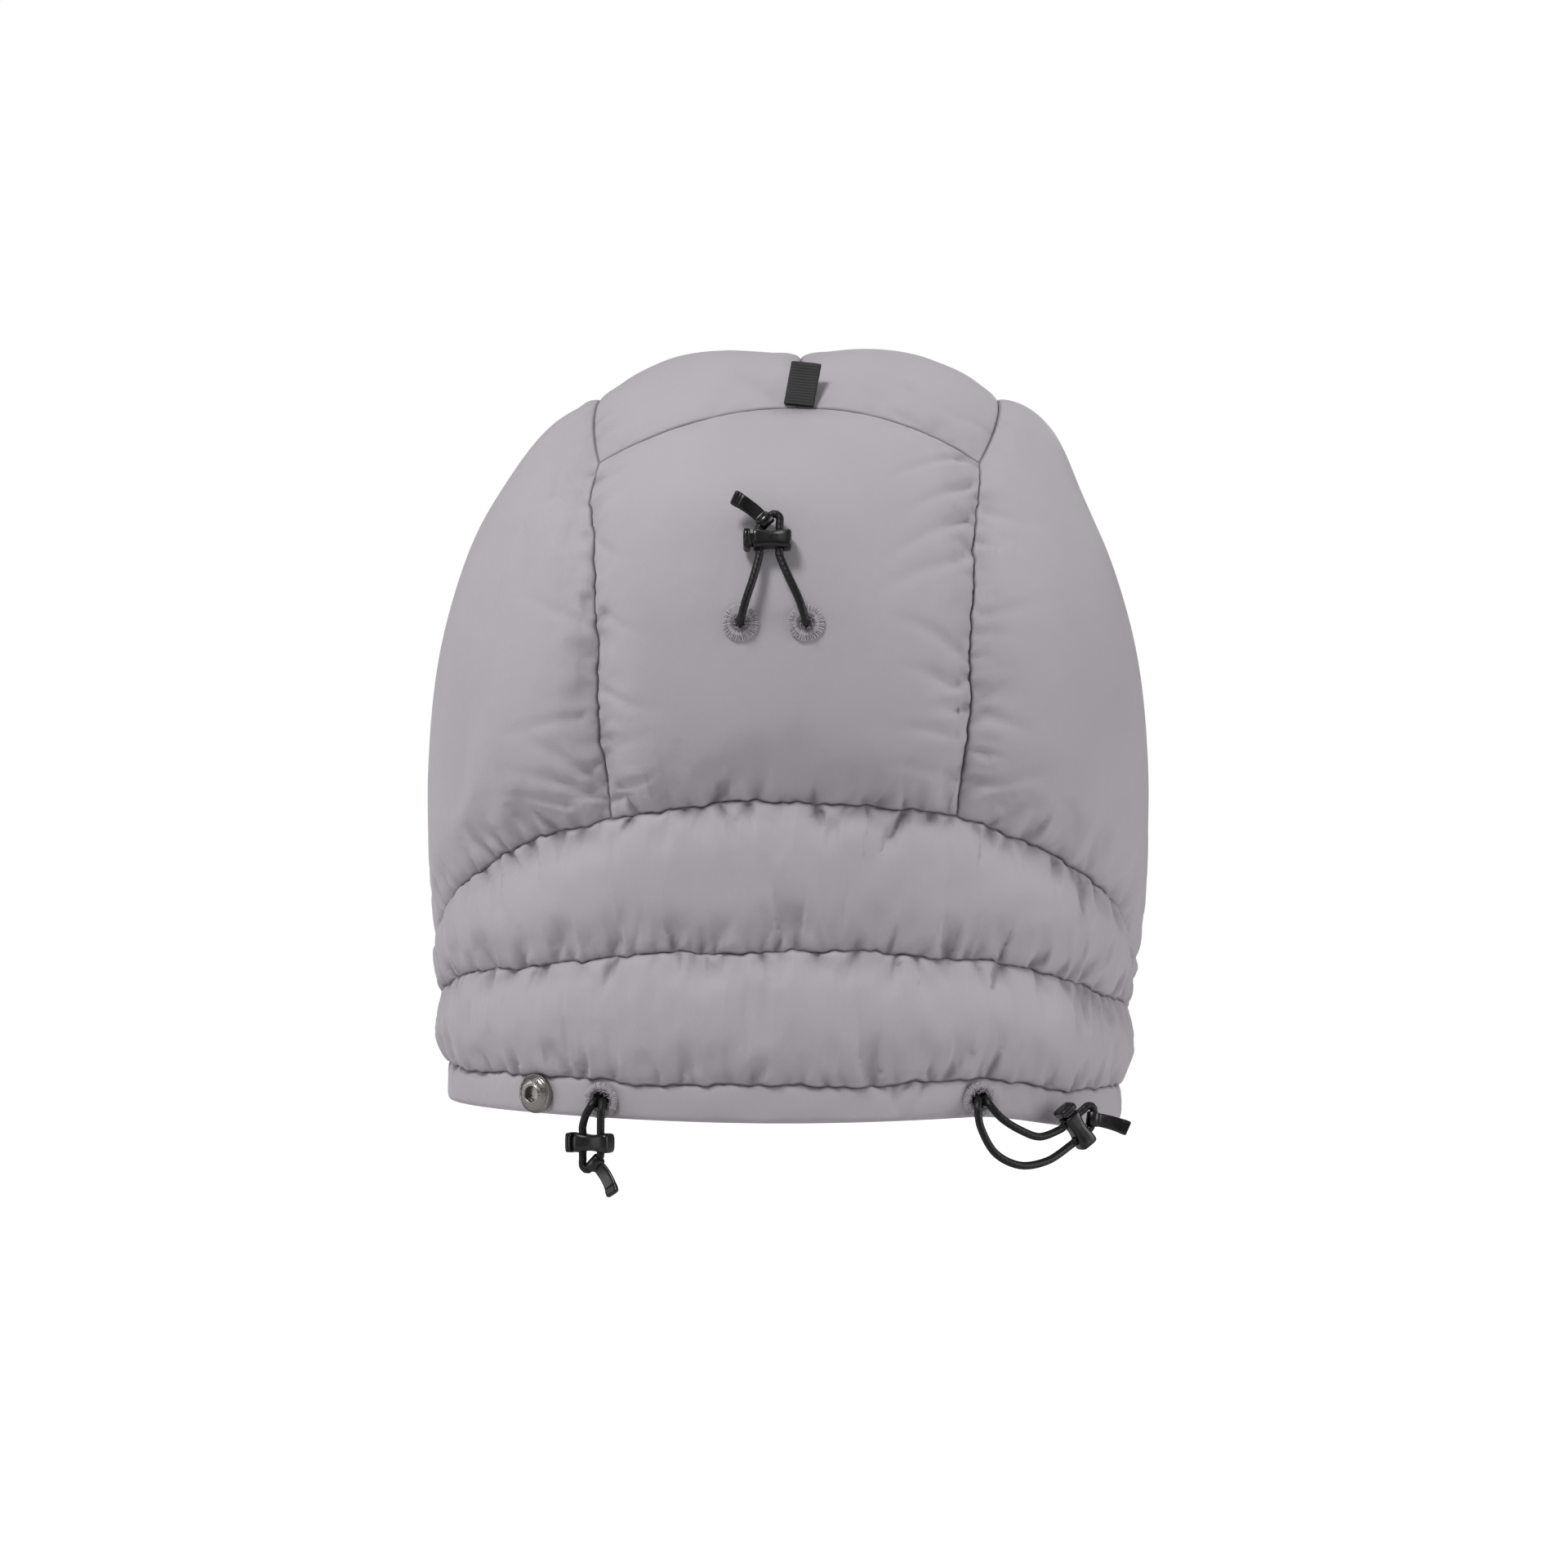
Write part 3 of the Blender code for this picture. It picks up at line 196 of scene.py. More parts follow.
def braid_finish():
    """Polyester sheath braided over rubber: near black, dull, with ribs a third of a millimetre wide."""
    made, tree, shader = material("braided polyester elastic", "040405", 0.42, Sheen_Weight=0.01)
    shader.inputs["Specular IOR Level"].default_value = 0.35
    shader.inputs["Sheen Roughness"].default_value = 0.5
    place = add(tree, "ShaderNodeUVMap", uv_map="along")
    heights = []
    for turn in (1, -1):
        slant = add(tree, "ShaderNodeVectorMath",
                    {0: place.outputs["UV"], 1: (CARRIERS / 2, turn / BRAID_PITCH * 2, 0)},
                    operation="DOT_PRODUCT")
        heights.append(add(tree, "ShaderNodeMath", {0: slant.outputs["Value"], 1: 1.0},
                           operation="PINGPONG"))
    rib = add(tree, "ShaderNodeMath", {0: heights[0].outputs[0], 1: heights[1].outputs[0]},
              operation="MULTIPLY")
    emboss(tree, shader, rib.outputs[0], 0.5, 0.0002)
    shade = add(tree, "ShaderNodeMapRange", {"Value": rib.outputs[0], "To Min": 0.50, "To Max": 0.30})
    tree.links.new(shade.outputs["Result"], shader.inputs["Roughness"])
    return made


BRAID = braid_finish()


# %% Tubes along a route
def link(obj):
    bpy.context.scene.collection.objects.link(obj)
    return obj


def mesh_object(name, verts, faces, finishes=(), smooth=True):
    data = bpy.data.meshes.new(name)
    data.from_pydata([tuple(v) for v in verts], [], [tuple(f) for f in faces])
    for finish in finishes:
        data.materials.append(finish)
    if smooth:
        data.polygons.foreach_set("use_smooth", [True] * len(data.polygons))
    return link(bpy.data.objects.new(name, data))


def outwards(obj):
    """Turns every face of a closed mesh outwards."""
    work = bmesh.new()
    work.from_mesh(obj.data)
    bmesh.ops.recalc_face_normals(work, faces=work.faces[:])
    work.to_mesh(obj.data)
    work.free()
    return obj


def tube_faces(count, around):
    """The faces of a closed tube: quads between neighbouring rings, and a cap at each end."""
    faces = [(i * around + j, i * around + (j + 1) % around, (i + 1) * around + (j + 1) % around,
              (i + 1) * around + j) for i in range(count - 1) for j in range(around)]
    last = (count - 1) * around
    return faces + [tuple(range(around))[::-1], tuple(last + j for j in range(around))]


def lay_cloth(obj, flat):
    """Stores each vertex's place on the flat cloth, in metres, as the UV map that weaves read."""
    uv = obj.data.uv_layers.new(name="cloth")
    loops = np.empty(len(obj.data.loops), np.int32)
    obj.data.loops.foreach_get("vertex_index", loops)
    uv.data.foreach_set("uv", flat[loops].astype(np.float32).ravel())


def smooth_route(points, spacing):
    """Closely spaced points of a smooth curve through a route."""
    ends = [2 * points[0] - points[1]] + points + [2 * points[-1] - points[-2]]
    found = []
    for a, b, c, d in zip(ends, ends[1:], ends[2:], ends[3:]):
        steps = max(1, round((c - b).length / spacing))
        for step in range(steps):
            t = step / steps
            bend = (2 * a - 5 * b + 4 * c - d) * t * t + (3 * b - a - 3 * c + d) * t ** 3
            found.append(b + ((c - a) * t + bend) / 2)
    return found + [points[-1]]


def carried_frames(points):
    """Two directions across the route at each point, carried along it without twisting."""
    points = np.array(points, float)
    along = np.gradient(points, axis=0)
    along /= np.linalg.norm(along, axis=1, keepdims=True)
    side = np.cross(along[0], [0.31, 0.57, 0.76])
    sides = []
    for way in along:
        side = side - way * np.dot(side, way)
        side = side / np.linalg.norm(side)
        sides.append(side)
    sides = np.array(sides)
    return points, sides, np.cross(along, sides)


def swept_tube(name, points, radii, finish, around=16):
    """A closed tube along points, with a UV map of turns round it and metres along it."""
    points, sides, ups = carried_frames(points)
    count = len(points)
    radii = np.broadcast_to(radii, count)
    angles = np.linspace(0, 2 * math.pi, around, endpoint=False)
    circle = np.stack([np.cos(angles), np.sin(angles)])
    rings = (points[:, None] + radii[:, None, None] * (circle[0][None, :, None] * sides[:, None]
                                                        + circle[1][None, :, None] * ups[:, None]))
    obj = mesh_object(name, rings.reshape(-1, 3), tube_faces(count, around), [finish])
    way = np.concatenate([[0], np.cumsum(np.linalg.norm(np.diff(points, axis=0), axis=1))])
    uv = obj.data.uv_layers.new(name="along")
    places = []
    for i in range(count - 1):
        for j in range(around):
            places += [(j / around, way[i]), ((j + 1) / around, way[i]), ((j + 1) / around, way[i + 1]),
                       (j / around, way[i + 1])]
    places += [(0, way[0])] * around + [(0, way[-1])] * around
    uv.data.foreach_set("uv", np.array(places, np.float32).ravel())
    return obj

# %% [markdown]
# The hood is sewn from flat cloth over a head-shaped form. Its seam surface, the sheet that runs through
# all the stitching, is a rounded section that grows and shrinks with height: half-widths and half-depths
# come from smooth curves through a few stations, and the section is a superellipse, fuller than an
# ellipse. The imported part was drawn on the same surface, so the looks repeat its stations and land on it.

# %% Seam surface: the form under all the stitching
HOOD_WIDTH, HOOD_HEIGHT = 0.260, 0.2915
BACK_DEPTH, FRONT_DEPTH = 0.118, 0.176
FACE_REACH = 0.090
SECTION_POWER = 2.25
CROWN_LEAN, LEAN_START = 0.0065, 0.225
RAY_CENTRE_HEIGHT = 0.150
SEAT_HEIGHT = 0.286
# (share of the height, share of the half-width or depth)
WIDTH_PROFILE = [(0.0, 0.992), (0.072, 0.988), (0.155, 1.0), (0.233, 0.996), (0.322, 0.992),
                 (0.46, 0.992), (0.597, 0.962), (0.72, 0.888), (0.82, 0.792), (0.885, 0.723),
                 (0.919, 0.662), (0.945, 0.577), (0.971, 0.438), (0.988, 0.285), (1.0, 0.0)]
BACK_PROFILE = [(0.0, 0.881), (0.103, 0.898), (0.206, 0.881), (0.316, 0.873), (0.415, 0.898),
                (0.5, 0.966), (0.6, 1.0), (0.686, 0.992), (0.8, 0.907), (0.885, 0.746),
                (0.943, 0.559), (0.978, 0.364), (1.0, 0.0)]
FRONT_PROFILE = [(0.0, 1.0), (0.4, 1.0), (0.65, 1.0), (0.82, 0.85), (0.885, 0.67),
                 (0.943, 0.455), (0.978, 0.284), (1.0, 0.0)]
SMALLEST = 1e-5


def profile_curve(stations, size, steps=10):
    """Heights and values of a smooth curve through the stations, as two arrays."""
    points = [Vector((h * HOOD_HEIGHT, v * size)) for h, v in stations]
    points = [points[0]] + points + [points[-1]]
    found = []
    for a, b, c, d in zip(points, points[1:], points[2:], points[3:]):
        for step in range(steps):
            t = step / steps
            bend = (2 * a - 5 * b + 4 * c - d) * t * t + (3 * b - a - 3 * c + d) * t ** 3
            found.append(b + ((c - a) * t + bend) / 2)
    return np.array(found + [points[-1]]).T


WIDTHS = profile_curve(WIDTH_PROFILE, HOOD_WIDTH / 2)
BACKS = profile_curve(BACK_PROFILE, BACK_DEPTH)
FRONTS = profile_curve(FRONT_PROFILE, FRONT_DEPTH)


def half_width(height):
    return np.maximum(np.interp(height, *WIDTHS), SMALLEST)


def half_depth(height, at_back):
    deep = np.where(at_back, np.interp(height, *BACKS), np.interp(height, *FRONTS))
    return np.maximum(deep, SMALLEST)


def ray_centre(points):
    centre = np.zeros_like(points)
    centre[..., 2] = np.minimum(points[..., 2], RAY_CENTRE_HEIGHT)
    return centre


def project(points):
    """The points moved onto the seam surface, along rays from the middle of the head."""
    points = np.asarray(points, float)
    centre = ray_centre(points)
    ray = points - centre
    near = np.zeros(points.shape[:-1] + (1,))
    far = np.full_like(near, 6.0)
    for _ in range(34):
        middle = (near + far) / 2
        x, y, height = np.moveaxis(centre + ray * middle, -1, 0)
        across = (np.abs(x) / half_width(height)) ** SECTION_POWER
        along = (np.abs(y) / half_depth(height, y < 0)) ** SECTION_POWER
        outside = ((across + along > 1) | (height > HOOD_HEIGHT))[..., None]
        near, far = np.where(outside, near, middle), np.where(outside, middle, far)
    return centre + ray * near


def normals(points, step=0.004):
    """Outward normals of the seam surface, averaged over a small step each way."""
    points = np.asarray(points, float)
    ray = points - ray_centre(points)
    ray /= np.linalg.norm(ray, axis=-1, keepdims=True)
    helper = np.where(np.abs(ray[..., 2:]) > 0.9, [1.0, 0, 0], [0, 0, 1.0])
    side = np.cross(ray, helper)
    side *= step / np.linalg.norm(side, axis=-1, keepdims=True)
    up = np.cross(side, ray)
    found = np.cross(project(points + side) - project(points - side),
                     project(points + up) - project(points - up))
    found *= np.sign(np.sum(found * ray, -1, keepdims=True))
    return found / np.linalg.norm(found, axis=-1, keepdims=True)


def placed(points):
    """Points of the upright surface with the crown's lean, measured from the head seat."""
    points = np.array(points, float)
    t = np.clip((points[..., 2] - LEAN_START) / (HOOD_HEIGHT - LEAN_START), 0, 1)
    points[..., 0] += CROWN_LEAN * t * t * (3 - 2 * t)
    points[..., 2] -= SEAT_HEIGHT
    return points


def back_point(x, height):
    """The point of the back's seam surface at a distance from the middle and a height."""
    share = 1 - (abs(x) / half_width(height)) ** SECTION_POWER
    return np.array([x, -half_depth(height, True) * share ** (1 / SECTION_POWER), height])


def ring_points(angles, heights):
    """Points of the seam surface at angles from the middle of the back, at heights."""
    sine, cosine = np.sin(angles), np.cos(angles)
    across = (np.abs(sine) / half_width(heights)) ** SECTION_POWER
    along = (np.abs(cosine) / half_depth(heights, cosine > 0)) ** SECTION_POWER
    radius = (across + along) ** (-1 / SECTION_POWER)
    return np.stack([radius * sine, -radius * cosine, heights], -1)


def surface_frame(x, height, off=0.0):
    """A place on the back: +X to the wearer's right, +Y up the cloth, +Z away from it."""
    point = back_point(x, height)
    out = Vector(normals(point))
    across = Vector((0, 0, 1)).cross(out).normalized()
    found = Matrix((across, out.cross(across), out)).transposed().to_4x4()
    found.translation = Vector(placed(point + np.array(out) * off))
    return found


def between(points, places):
    """The curve through the points, read at shares of its length."""
    steps = np.linalg.norm(np.diff(points, axis=0), axis=1)
    way = np.concatenate([[0], np.cumsum(steps)])
    return np.stack([np.interp(places * way[-1], way, points[:, k]) for k in range(3)], -1)


print("seam surface", round(HOOD_WIDTH * 1000), "x", round(HOOD_HEIGHT * 1000, 1), "mm")

# %% Layers of the quilting, the band and the eyelets
SEAM_OUT = 0.0019
PUFF_REACH = 0.022
PUFF_INSIDE = 0.003
LINING_DEEP = 0.0019
PUFF = {"crown": 0.005, "back": 0.007, "side": 0.010, "nape": 0.007, "collar": 0.0055}
CHANNEL_HALF = 0.0031
HEM_BAND, HEM_RISE = 0.0145, 0.0045
HEM_EYELET_HEIGHT, BACK_EYELET_HEIGHT = 0.0070, 0.187
BACK_EYELETS_X = (-0.0155, 0.0079)
HEM_EYELETS_X = (-0.0674, 0.0721)
BACK_OFF = SEAM_OUT + PUFF["back"]


def hem_lift(angles):
    return HEM_RISE * np.sin(np.minimum(np.abs(angles), math.pi / 2)) ** 2


def angle_at(x):
    """The angle round the hem at which the band's middle is x from the centre."""
    angles = np.linspace(-1.6, 1.6, 3201)
    points = ring_points(angles, HEM_EYELET_HEIGHT + hem_lift(angles))
    return angles[np.argmin(np.abs(points[:, 0] - x))]


def hem_frame(x, height, off):
    return surface_frame(x, height + float(hem_lift(angle_at(x))), off)


# %% [markdown]
# Each drawn-out loop of cord leaves one eyelet, runs through its cord lock, bends over in the eye of a
# pull tab and comes back through the lock to its eyelet, so both ends go into the hood.

# %% Cord loops
STRAND_CLEAR, STRAND_APART = 0.0025, 0.0016
LOCK_MIDDLE = 0.0018
STRANDS_MIDDLE = 0.7
# Through the lock, round the tab's eye and back, in millimetres in the lock's own frame.
LOOP_TOP = [(-3.1, -6.2), (-3.1, -3.7), (-3.1, 0), (-3.1, 3.9), (-2.8, 5.2), (-1.9, 6.5), (-0.9, 7.5),
            (0.1, 8.5), (1.2, 9.6), (2.2, 10.15), (3.3, 10.05), (4.2, 9.3), (4.6, 8.1), (4.5, 6.4),
            (4.5, 3.9), (4.5, 0),
            (4.5, -3.7), (4.5, -6.2)]
# From the first eyelet up to the lock, and from the lock down to the second, in millimetres.
STRANDS = {
    "back": ([(-15.7, -131.8, -96.6), (-14.1, -132.4, -90.5), (-11.3, -131.1, -82.0)],
             [(1.5, -131.1, -81.5), (5.5, -132.7, -90.2), (7.5, -132.1, -96.2)]),
    "hem_left": ([(-72.3, -99.8, -279.4), (-74.4, -99.6, -283.0)],
                 [(-68.7, -102.2, -283.0), (-68.3, -101.2, -279.4)]),
    "hem_right": ([(77.5, -98.2, -279.5), (82.0, -98.2, -284.5), (89.0, -94.8, -289.0),
                   (96.5, -89.0, -291.8)],
                  [(99.5, -87.0, -301.0), (89.0, -94.2, -302.3), (79.5, -98.8, -297.5),
                   (74.0, -100.6, -288.0), (72.8, -100.0, -280.5)]),
}


def lock_frame(name):
    """A lock's own frame, from its joints and its body: +X from the button and +Z to its loop."""
    press = Vector(JOINTS[f"{name}_button_press"]["axis"])
    slide = Vector(JOINTS[f"{name}_lock_slide"]["axis"])
    low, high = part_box(f"lock_body_{name}")
    found = Matrix((press, slide.cross(press), slide)).transposed().to_4x4()
    found.translation = (low + high) / 2 - press * LOCK_MIDDLE
    return found


def strand_ends(frame_, depth):
    """Where a strand passes an eyelet: its end inside, and the eyelet's mouth."""
    return [frame_ @ Vector((0, 0, -depth)), frame_ @ Vector((0, 0, STRAND_CLEAR))]


def loop_ends(name):
    if name == "back":
        return [strand_ends(surface_frame(x, BACK_EYELET_HEIGHT, BACK_OFF), 0.0038) for x in BACK_EYELETS_X]
    side = name == "hem_right"
    frame_ = hem_frame(HEM_EYELETS_X[side], HEM_EYELET_HEIGHT, CHANNEL_HALF)
    ends = [strand_ends(frame_ @ Matrix.Translation((way * STRAND_APART, 0, 0)), CHANNEL_HALF)
            for way in (-1, 1)]
    return ends[::-1] if side else ends


def loop_route(name):
    up, down = ([Vector(p) / 1000 for p in strand] for strand in STRANDS[name])
    middle = [Vector((x, 0, z)) / 1000 for x, z in LOOP_TOP]
    if name != "back":
        middle = [Vector((2 * STRANDS_MIDDLE / 1000 - p.x, 0, p.z)) for p in reversed(middle)]
    place = lock_frame(name)
    ends = loop_ends(name)
    return [*ends[0], *up, *[place @ p for p in middle], *down, *reversed(ends[1])]

# %% [markdown]
# A small cord lock is a moulded sleeve with a sprung button in its open end. The sleeve swells at both
# ends and is pinched between, so that thumb and finger find it. It is drawn by lofting: one rounded
# square section is set along the lock's length at changing sizes, then the chamber and the two cord ways
# are cut from it with Booleans, as the mould's cores would. The pull tabs are lofted in the same way.

# %% Acetal
def acetal_finish():
    """Injection-moulded acetal: dark, an IOR of 1.48, satin with a fine spark-eroded texture."""
    made, tree, shader = material("moulded black acetal", "050506", 0.30, IOR=1.48)
    place = add(tree, "ShaderNodeTexCoord")
    grain = speckle(tree, place, 3500.0)
    wear = speckle(tree, place, 260.0, 3.0)
    rough = add(tree, "ShaderNodeMapRange", {"Value": wear.outputs["Fac"], "From Min": 0.3, "From Max": 0.7,
                                             "To Min": 0.20, "To Max": 0.38})
    emboss(tree, shader, grain.outputs["Fac"], 0.18, 0.0001)
    tree.links.new(rough.outputs["Result"], shader.inputs["Roughness"])
    return made


ACETAL = acetal_finish()


# %% Metal finishes
def plated(name, colour, roughness, grain):
    """Plated brass, tumbled: fully metallic, with a speckle of fine dents that catch the light."""
    made, tree, shader = material(name, colour, roughness, Metallic=1.0)
    place = add(tree, "ShaderNodeTexCoord")
    dents = add(tree, "ShaderNodeTexVoronoi", {"Vector": place.outputs["Object"], "Scale": 1 / grain})
    fine = speckle(tree, place, 900.0, 4.0)
    worn = add(tree, "ShaderNodeMapRange", {"Value": fine.outputs["Fac"], "From Min": 0.35, "From Max": 0.7,
                                            "To Min": roughness - 0.1, "To Max": roughness + 0.2})
    emboss(tree, shader, dents.outputs["Distance"], 0.35, 0.0002)
    tree.links.new(worn.outputs["Result"], shader.inputs["Roughness"])
    return made


GUNMETAL = plated("gunmetal plated brass", "8C8885", 0.30, 0.0008)
SPRING_STEEL = plated("phosphated spring steel", "8E8C8A", 0.34, 0.0005)


# %% Lofted mouldings
def lofted(name, sections, finish, around=40, power=4.5):
    """A closed loft through sections of (frame, half-width along Y, half-height along Z)."""
    turn = np.linspace(0, 2 * math.pi, around, endpoint=False)
    cosine, sine = np.cos(turn), np.sin(turn)
    reach = (np.abs(cosine) ** power + np.abs(sine) ** power) ** (-1 / power)
    verts = [place @ Vector((0, wide * r * c, tall * r * s)) for place, wide, tall in sections
             for r, c, s in zip(reach, cosine, sine)]
    return outwards(mesh_object(name, verts, tube_faces(len(sections), around), [finish]))


def carved(obj, others, operation):
    """The object after a Boolean with each of the others, kept as a plain mesh."""
    for other in others:
        modifier = obj.modifiers.new("Carve", "BOOLEAN")
        modifier.operation, modifier.object = operation, other
    graph = bpy.context.evaluated_depsgraph_get()
    data = bpy.data.meshes.new_from_object(obj.evaluated_get(graph), preserve_all_data_layers=True,
                                           depsgraph=graph)
    obj.modifiers.clear()
    obj.data = data
    for other in others:
        bpy.data.objects.remove(other, do_unlink=True)
    return obj


def block(name, place, low, high):
    """A plain box in a frame, used as a cutter."""
    corners = [Vector((x, y, z)) / 1000 for x in (low[0], high[0]) for y in (low[1], high[1])
               for z in (low[2], high[2])]
    faces = [(0, 1, 3, 2), (4, 6, 7, 5), (0, 4, 5, 1), (2, 3, 7, 6), (0, 2, 6, 4), (1, 5, 7, 3)]
    return outwards(mesh_object(name, [place @ c for c in corners], faces, smooth=False))


def rod(name, place, radius, reach, sides=24):
    """A round cutter along a frame's Z, as long each way as its reach."""
    turn = np.linspace(0, 2 * math.pi, sides, endpoint=False)
    verts = [place @ Vector((radius * math.cos(a), radius * math.sin(a), z))
             for z in (-reach, reach) for a in turn]
    return outwards(mesh_object(name, verts, tube_faces(2, sides)))


def turned(name, outline, place, finish, steps=64, wave=None):
    """A closed outline of (radius, height) spun round a frame's Z, its radius waved where asked."""
    count = len(outline)
    verts, faces = [], []
    for k in range(steps):
        angle = 2 * math.pi * k / steps
        for radius, height in outline:
            reach = radius * (wave(angle, radius) if wave else 1)
            verts.append(place @ Vector((reach * math.cos(angle), reach * math.sin(angle), height)))
    for k in range(steps):
        a, b = k * count, (k + 1) % steps * count
        faces += [(a + j, b + j, b + (j + 1) % count, a + (j + 1) % count) for j in range(count)]
    return outwards(mesh_object(name, verts, faces, [finish]))


# %% Lock sleeves and button caps
# (along the lock, half its depth, half its height), in millimetres from the lock's middle.
SLEEVE = [(-5.3, 3.25, 3.3), (-5.2, 3.55, 3.6), (-4.9, 3.7, 3.7), (-4.0, 3.7, 3.7), (-2.9, 3.62, 3.55),
          (-1.6, 3.45, 3.25), (-0.2, 3.34, 3.05), (1.2, 3.3, 2.98), (2.6, 3.36, 3.08), (3.9, 3.48, 3.3),
          (5.2, 3.62, 3.56), (6.4, 3.7, 3.7), (7.9, 3.7, 3.7), (8.5, 3.5, 3.5), (8.8, 3.1, 3.1),
          (8.9, 2.5, 2.5)]
CAP = [(-9.05, 2.2, 2.2), (-9.0, 2.9, 2.9), (-8.85, 3.4, 3.4), (-8.5, 3.72, 3.72), (-8.0, 3.8, 3.8),
       (-7.6, 3.8, 3.8), (-7.4, 3.66, 3.66), (-7.2, 3.66, 3.66), (-7.0, 3.8, 3.8), (-6.75, 3.8, 3.8),
       (-6.5, 3.7, 3.7),
       (-6.42, 3.4, 3.4)]
CHAMBER = ((-9.0, -2.9, -2.2), (8.1, 2.9, 2.2))
CORD_WAYS = (-3.1, 4.5)
CORD_WAY_RADIUS = 0.00175
SPRING_TURNS, SPRING_WIRE = 6, 0.00018


def along_lock(place, stations):
    return [(place @ Matrix.Translation((x / 1000, 0, 0)), y / 1000, z / 1000) for x, y, z in stations]


def coil_spring(name, place):
    """A compression spring inside the sleeve, as long and as wide as the imported one. it shortens as the
    button goes in, against its far end.
    """
    inverse = place.inverted()
    reach = np.array([inverse @ v.co for v in frame["nodes"][f"lock_spring_{name}"].data.vertices])
    low, high = reach[:, 0].min(), reach[:, 0].max()
    radius = np.abs(reach[:, 1:]).max() - SPRING_WIRE
    places = np.linspace(0, 1, SPRING_TURNS * 20 + 1)
    turn = 2 * math.pi * SPRING_TURNS * places
    way = low + SPRING_WIRE + (high - low - 2 * SPRING_WIRE) * places
    points = [place @ Vector((x, radius * math.cos(a), radius * math.sin(a))) for x, a in zip(way, turn)]
    spring = swept_tube(f"spring_{name}", points, SPRING_WIRE, SPRING_STEEL, 8)
    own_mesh(spring)
    return spring


for name in STRANDS:
    place = lock_frame(name)
    sleeve = lofted(f"sleeve_{name}", along_lock(place, SLEEVE), ACETAL)
    cores = [block("chamber", place, *CHAMBER)]
    cores += [rod("cord_way", place @ Matrix.Translation((x / 1000, 0, 0)), CORD_WAY_RADIUS, 0.006)
              for x in CORD_WAYS]
    carved(sleeve, cores, "DIFFERENCE")
    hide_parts(f"lock_body_{name}")
    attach(sleeve, f"{name}_lock")
    spring = coil_spring(name, place)
    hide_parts(f"lock_spring_{name}")
    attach(spring, f"{name}_lock")
    cap = lofted(f"button_cap_{name}", along_lock(place, CAP), ACETAL)
    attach(cap, f"{name}_button")
    print(sleeve.name, len(sleeve.data.polygons), "faces")

# %% [markdown]
# A pull tab is an eye with an arm: the arm curls away from the cloth, bends a little to one side and ends
# in a thick ribbed lip for the fingertips. Its eye is a ring that the cord loop runs through.

# %% Pull tabs
TAB_EYE_CENTRE = Vector((-0.0009, 0, 0.0075))
# (along the arm, half its thickness, half its width), in millimetres from the eye's middle.
ARM = [(1.9, 0.5, 2.0), (2.1, 0.72, 2.4), (3.0, 0.75, 2.55), (4.5, 0.75, 2.6), (6.5, 0.74, 2.62),
       (8.5, 0.72, 2.65),
       (10.0, 0.72, 2.7), (11.0, 0.74, 2.75), (11.6, 0.80, 2.8), (12.0, 1.05, 2.85), (12.35, 1.1, 2.88),
       (12.6, 0.92, 2.86), (12.85, 1.1, 2.88), (13.15, 1.15, 2.88), (13.4, 0.95, 2.86), (13.7, 1.12, 2.84),
       (14.05, 1.05, 2.75), (14.25, 0.8, 2.5), (14.3, 0.5, 2.2)]
SIDE_BEND = {"back": -2.4, "hem_left": 1.6, "hem_right": 1.6}


def tab_frame(name):
    """The tab in its lock's frame: +X along the arm, +Y away from the cloth, +Z along the cord."""
    hand = 1 if name == "back" else -1
    arm = Vector((-hand, 0, 1)).normalized()
    depth = Vector((0, 1 if name == "hem_left" else -1, 0))
    turn = Matrix((arm, depth, arm.cross(depth))).transposed().to_4x4()
    turn.translation = TAB_EYE_CENTRE
    if hand < 0:
        turn.translation.x = 2 * STRANDS_MIDDLE / 1000 - TAB_EYE_CENTRE.x
    return lock_frame(name) @ turn


def arm_sections(place, bend):
    found = []
    for x, thick, wide in ARM:
        share_ = max(0, (x - 2.5) / 11.5)
        curl, slope = 3.0 * share_ ** 2, 2 * 3.0 * share_ / 11.5
        side, yaw = bend * share_ ** 2, 2 * bend * share_ / 11.5
        spot = Matrix.Translation(Vector((x, curl, side)) / 1000)
        spot = spot @ Matrix.Rotation(math.atan(slope), 4, "Z") @ Matrix.Rotation(-math.atan(yaw), 4, "Y")
        found.append((place @ spot, thick / 1000, wide / 1000))
    return found


RING = [(1.92, -2.7), (1.92, 2.7), (2.25, 2.7), (2.5, 2.45), (2.5, -2.45), (2.25, -2.7)]
for name in STRANDS:
    place = tab_frame(name)
    tab = lofted(f"tab_{name}", arm_sections(place, SIDE_BEND[name]), ACETAL, power=3.5)
    ring = turned("eye", [(r / 1000, h / 1000) for r, h in RING], place, ACETAL, 40)
    carved(tab, [ring], "UNION")
    carved(tab, [rod("hole", place, 0.0019, 0.005, 40)], "DIFFERENCE")
    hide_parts(f"pull_tab_{name}")
    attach(tab, f"{name}_tab")
    print(tab.name, len(tab.data.polygons), "faces")

# %% [markdown]
# Each strand is one piece from its eyelet, through the lock and the eye of the tab, and back.

# %% Cords
for name in STRANDS:
    route = smooth_route(loop_route(name), 0.0008)
    cord = swept_tube(f"drawcord_{name}", route, CORD / 2, BRAID)
    place = lock_frame(name)
    eyelets = sum((ends[1] for ends in loop_ends(name)), Vector()) / 2
    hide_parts(f"cord_loop_{name}")
    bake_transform(cord)
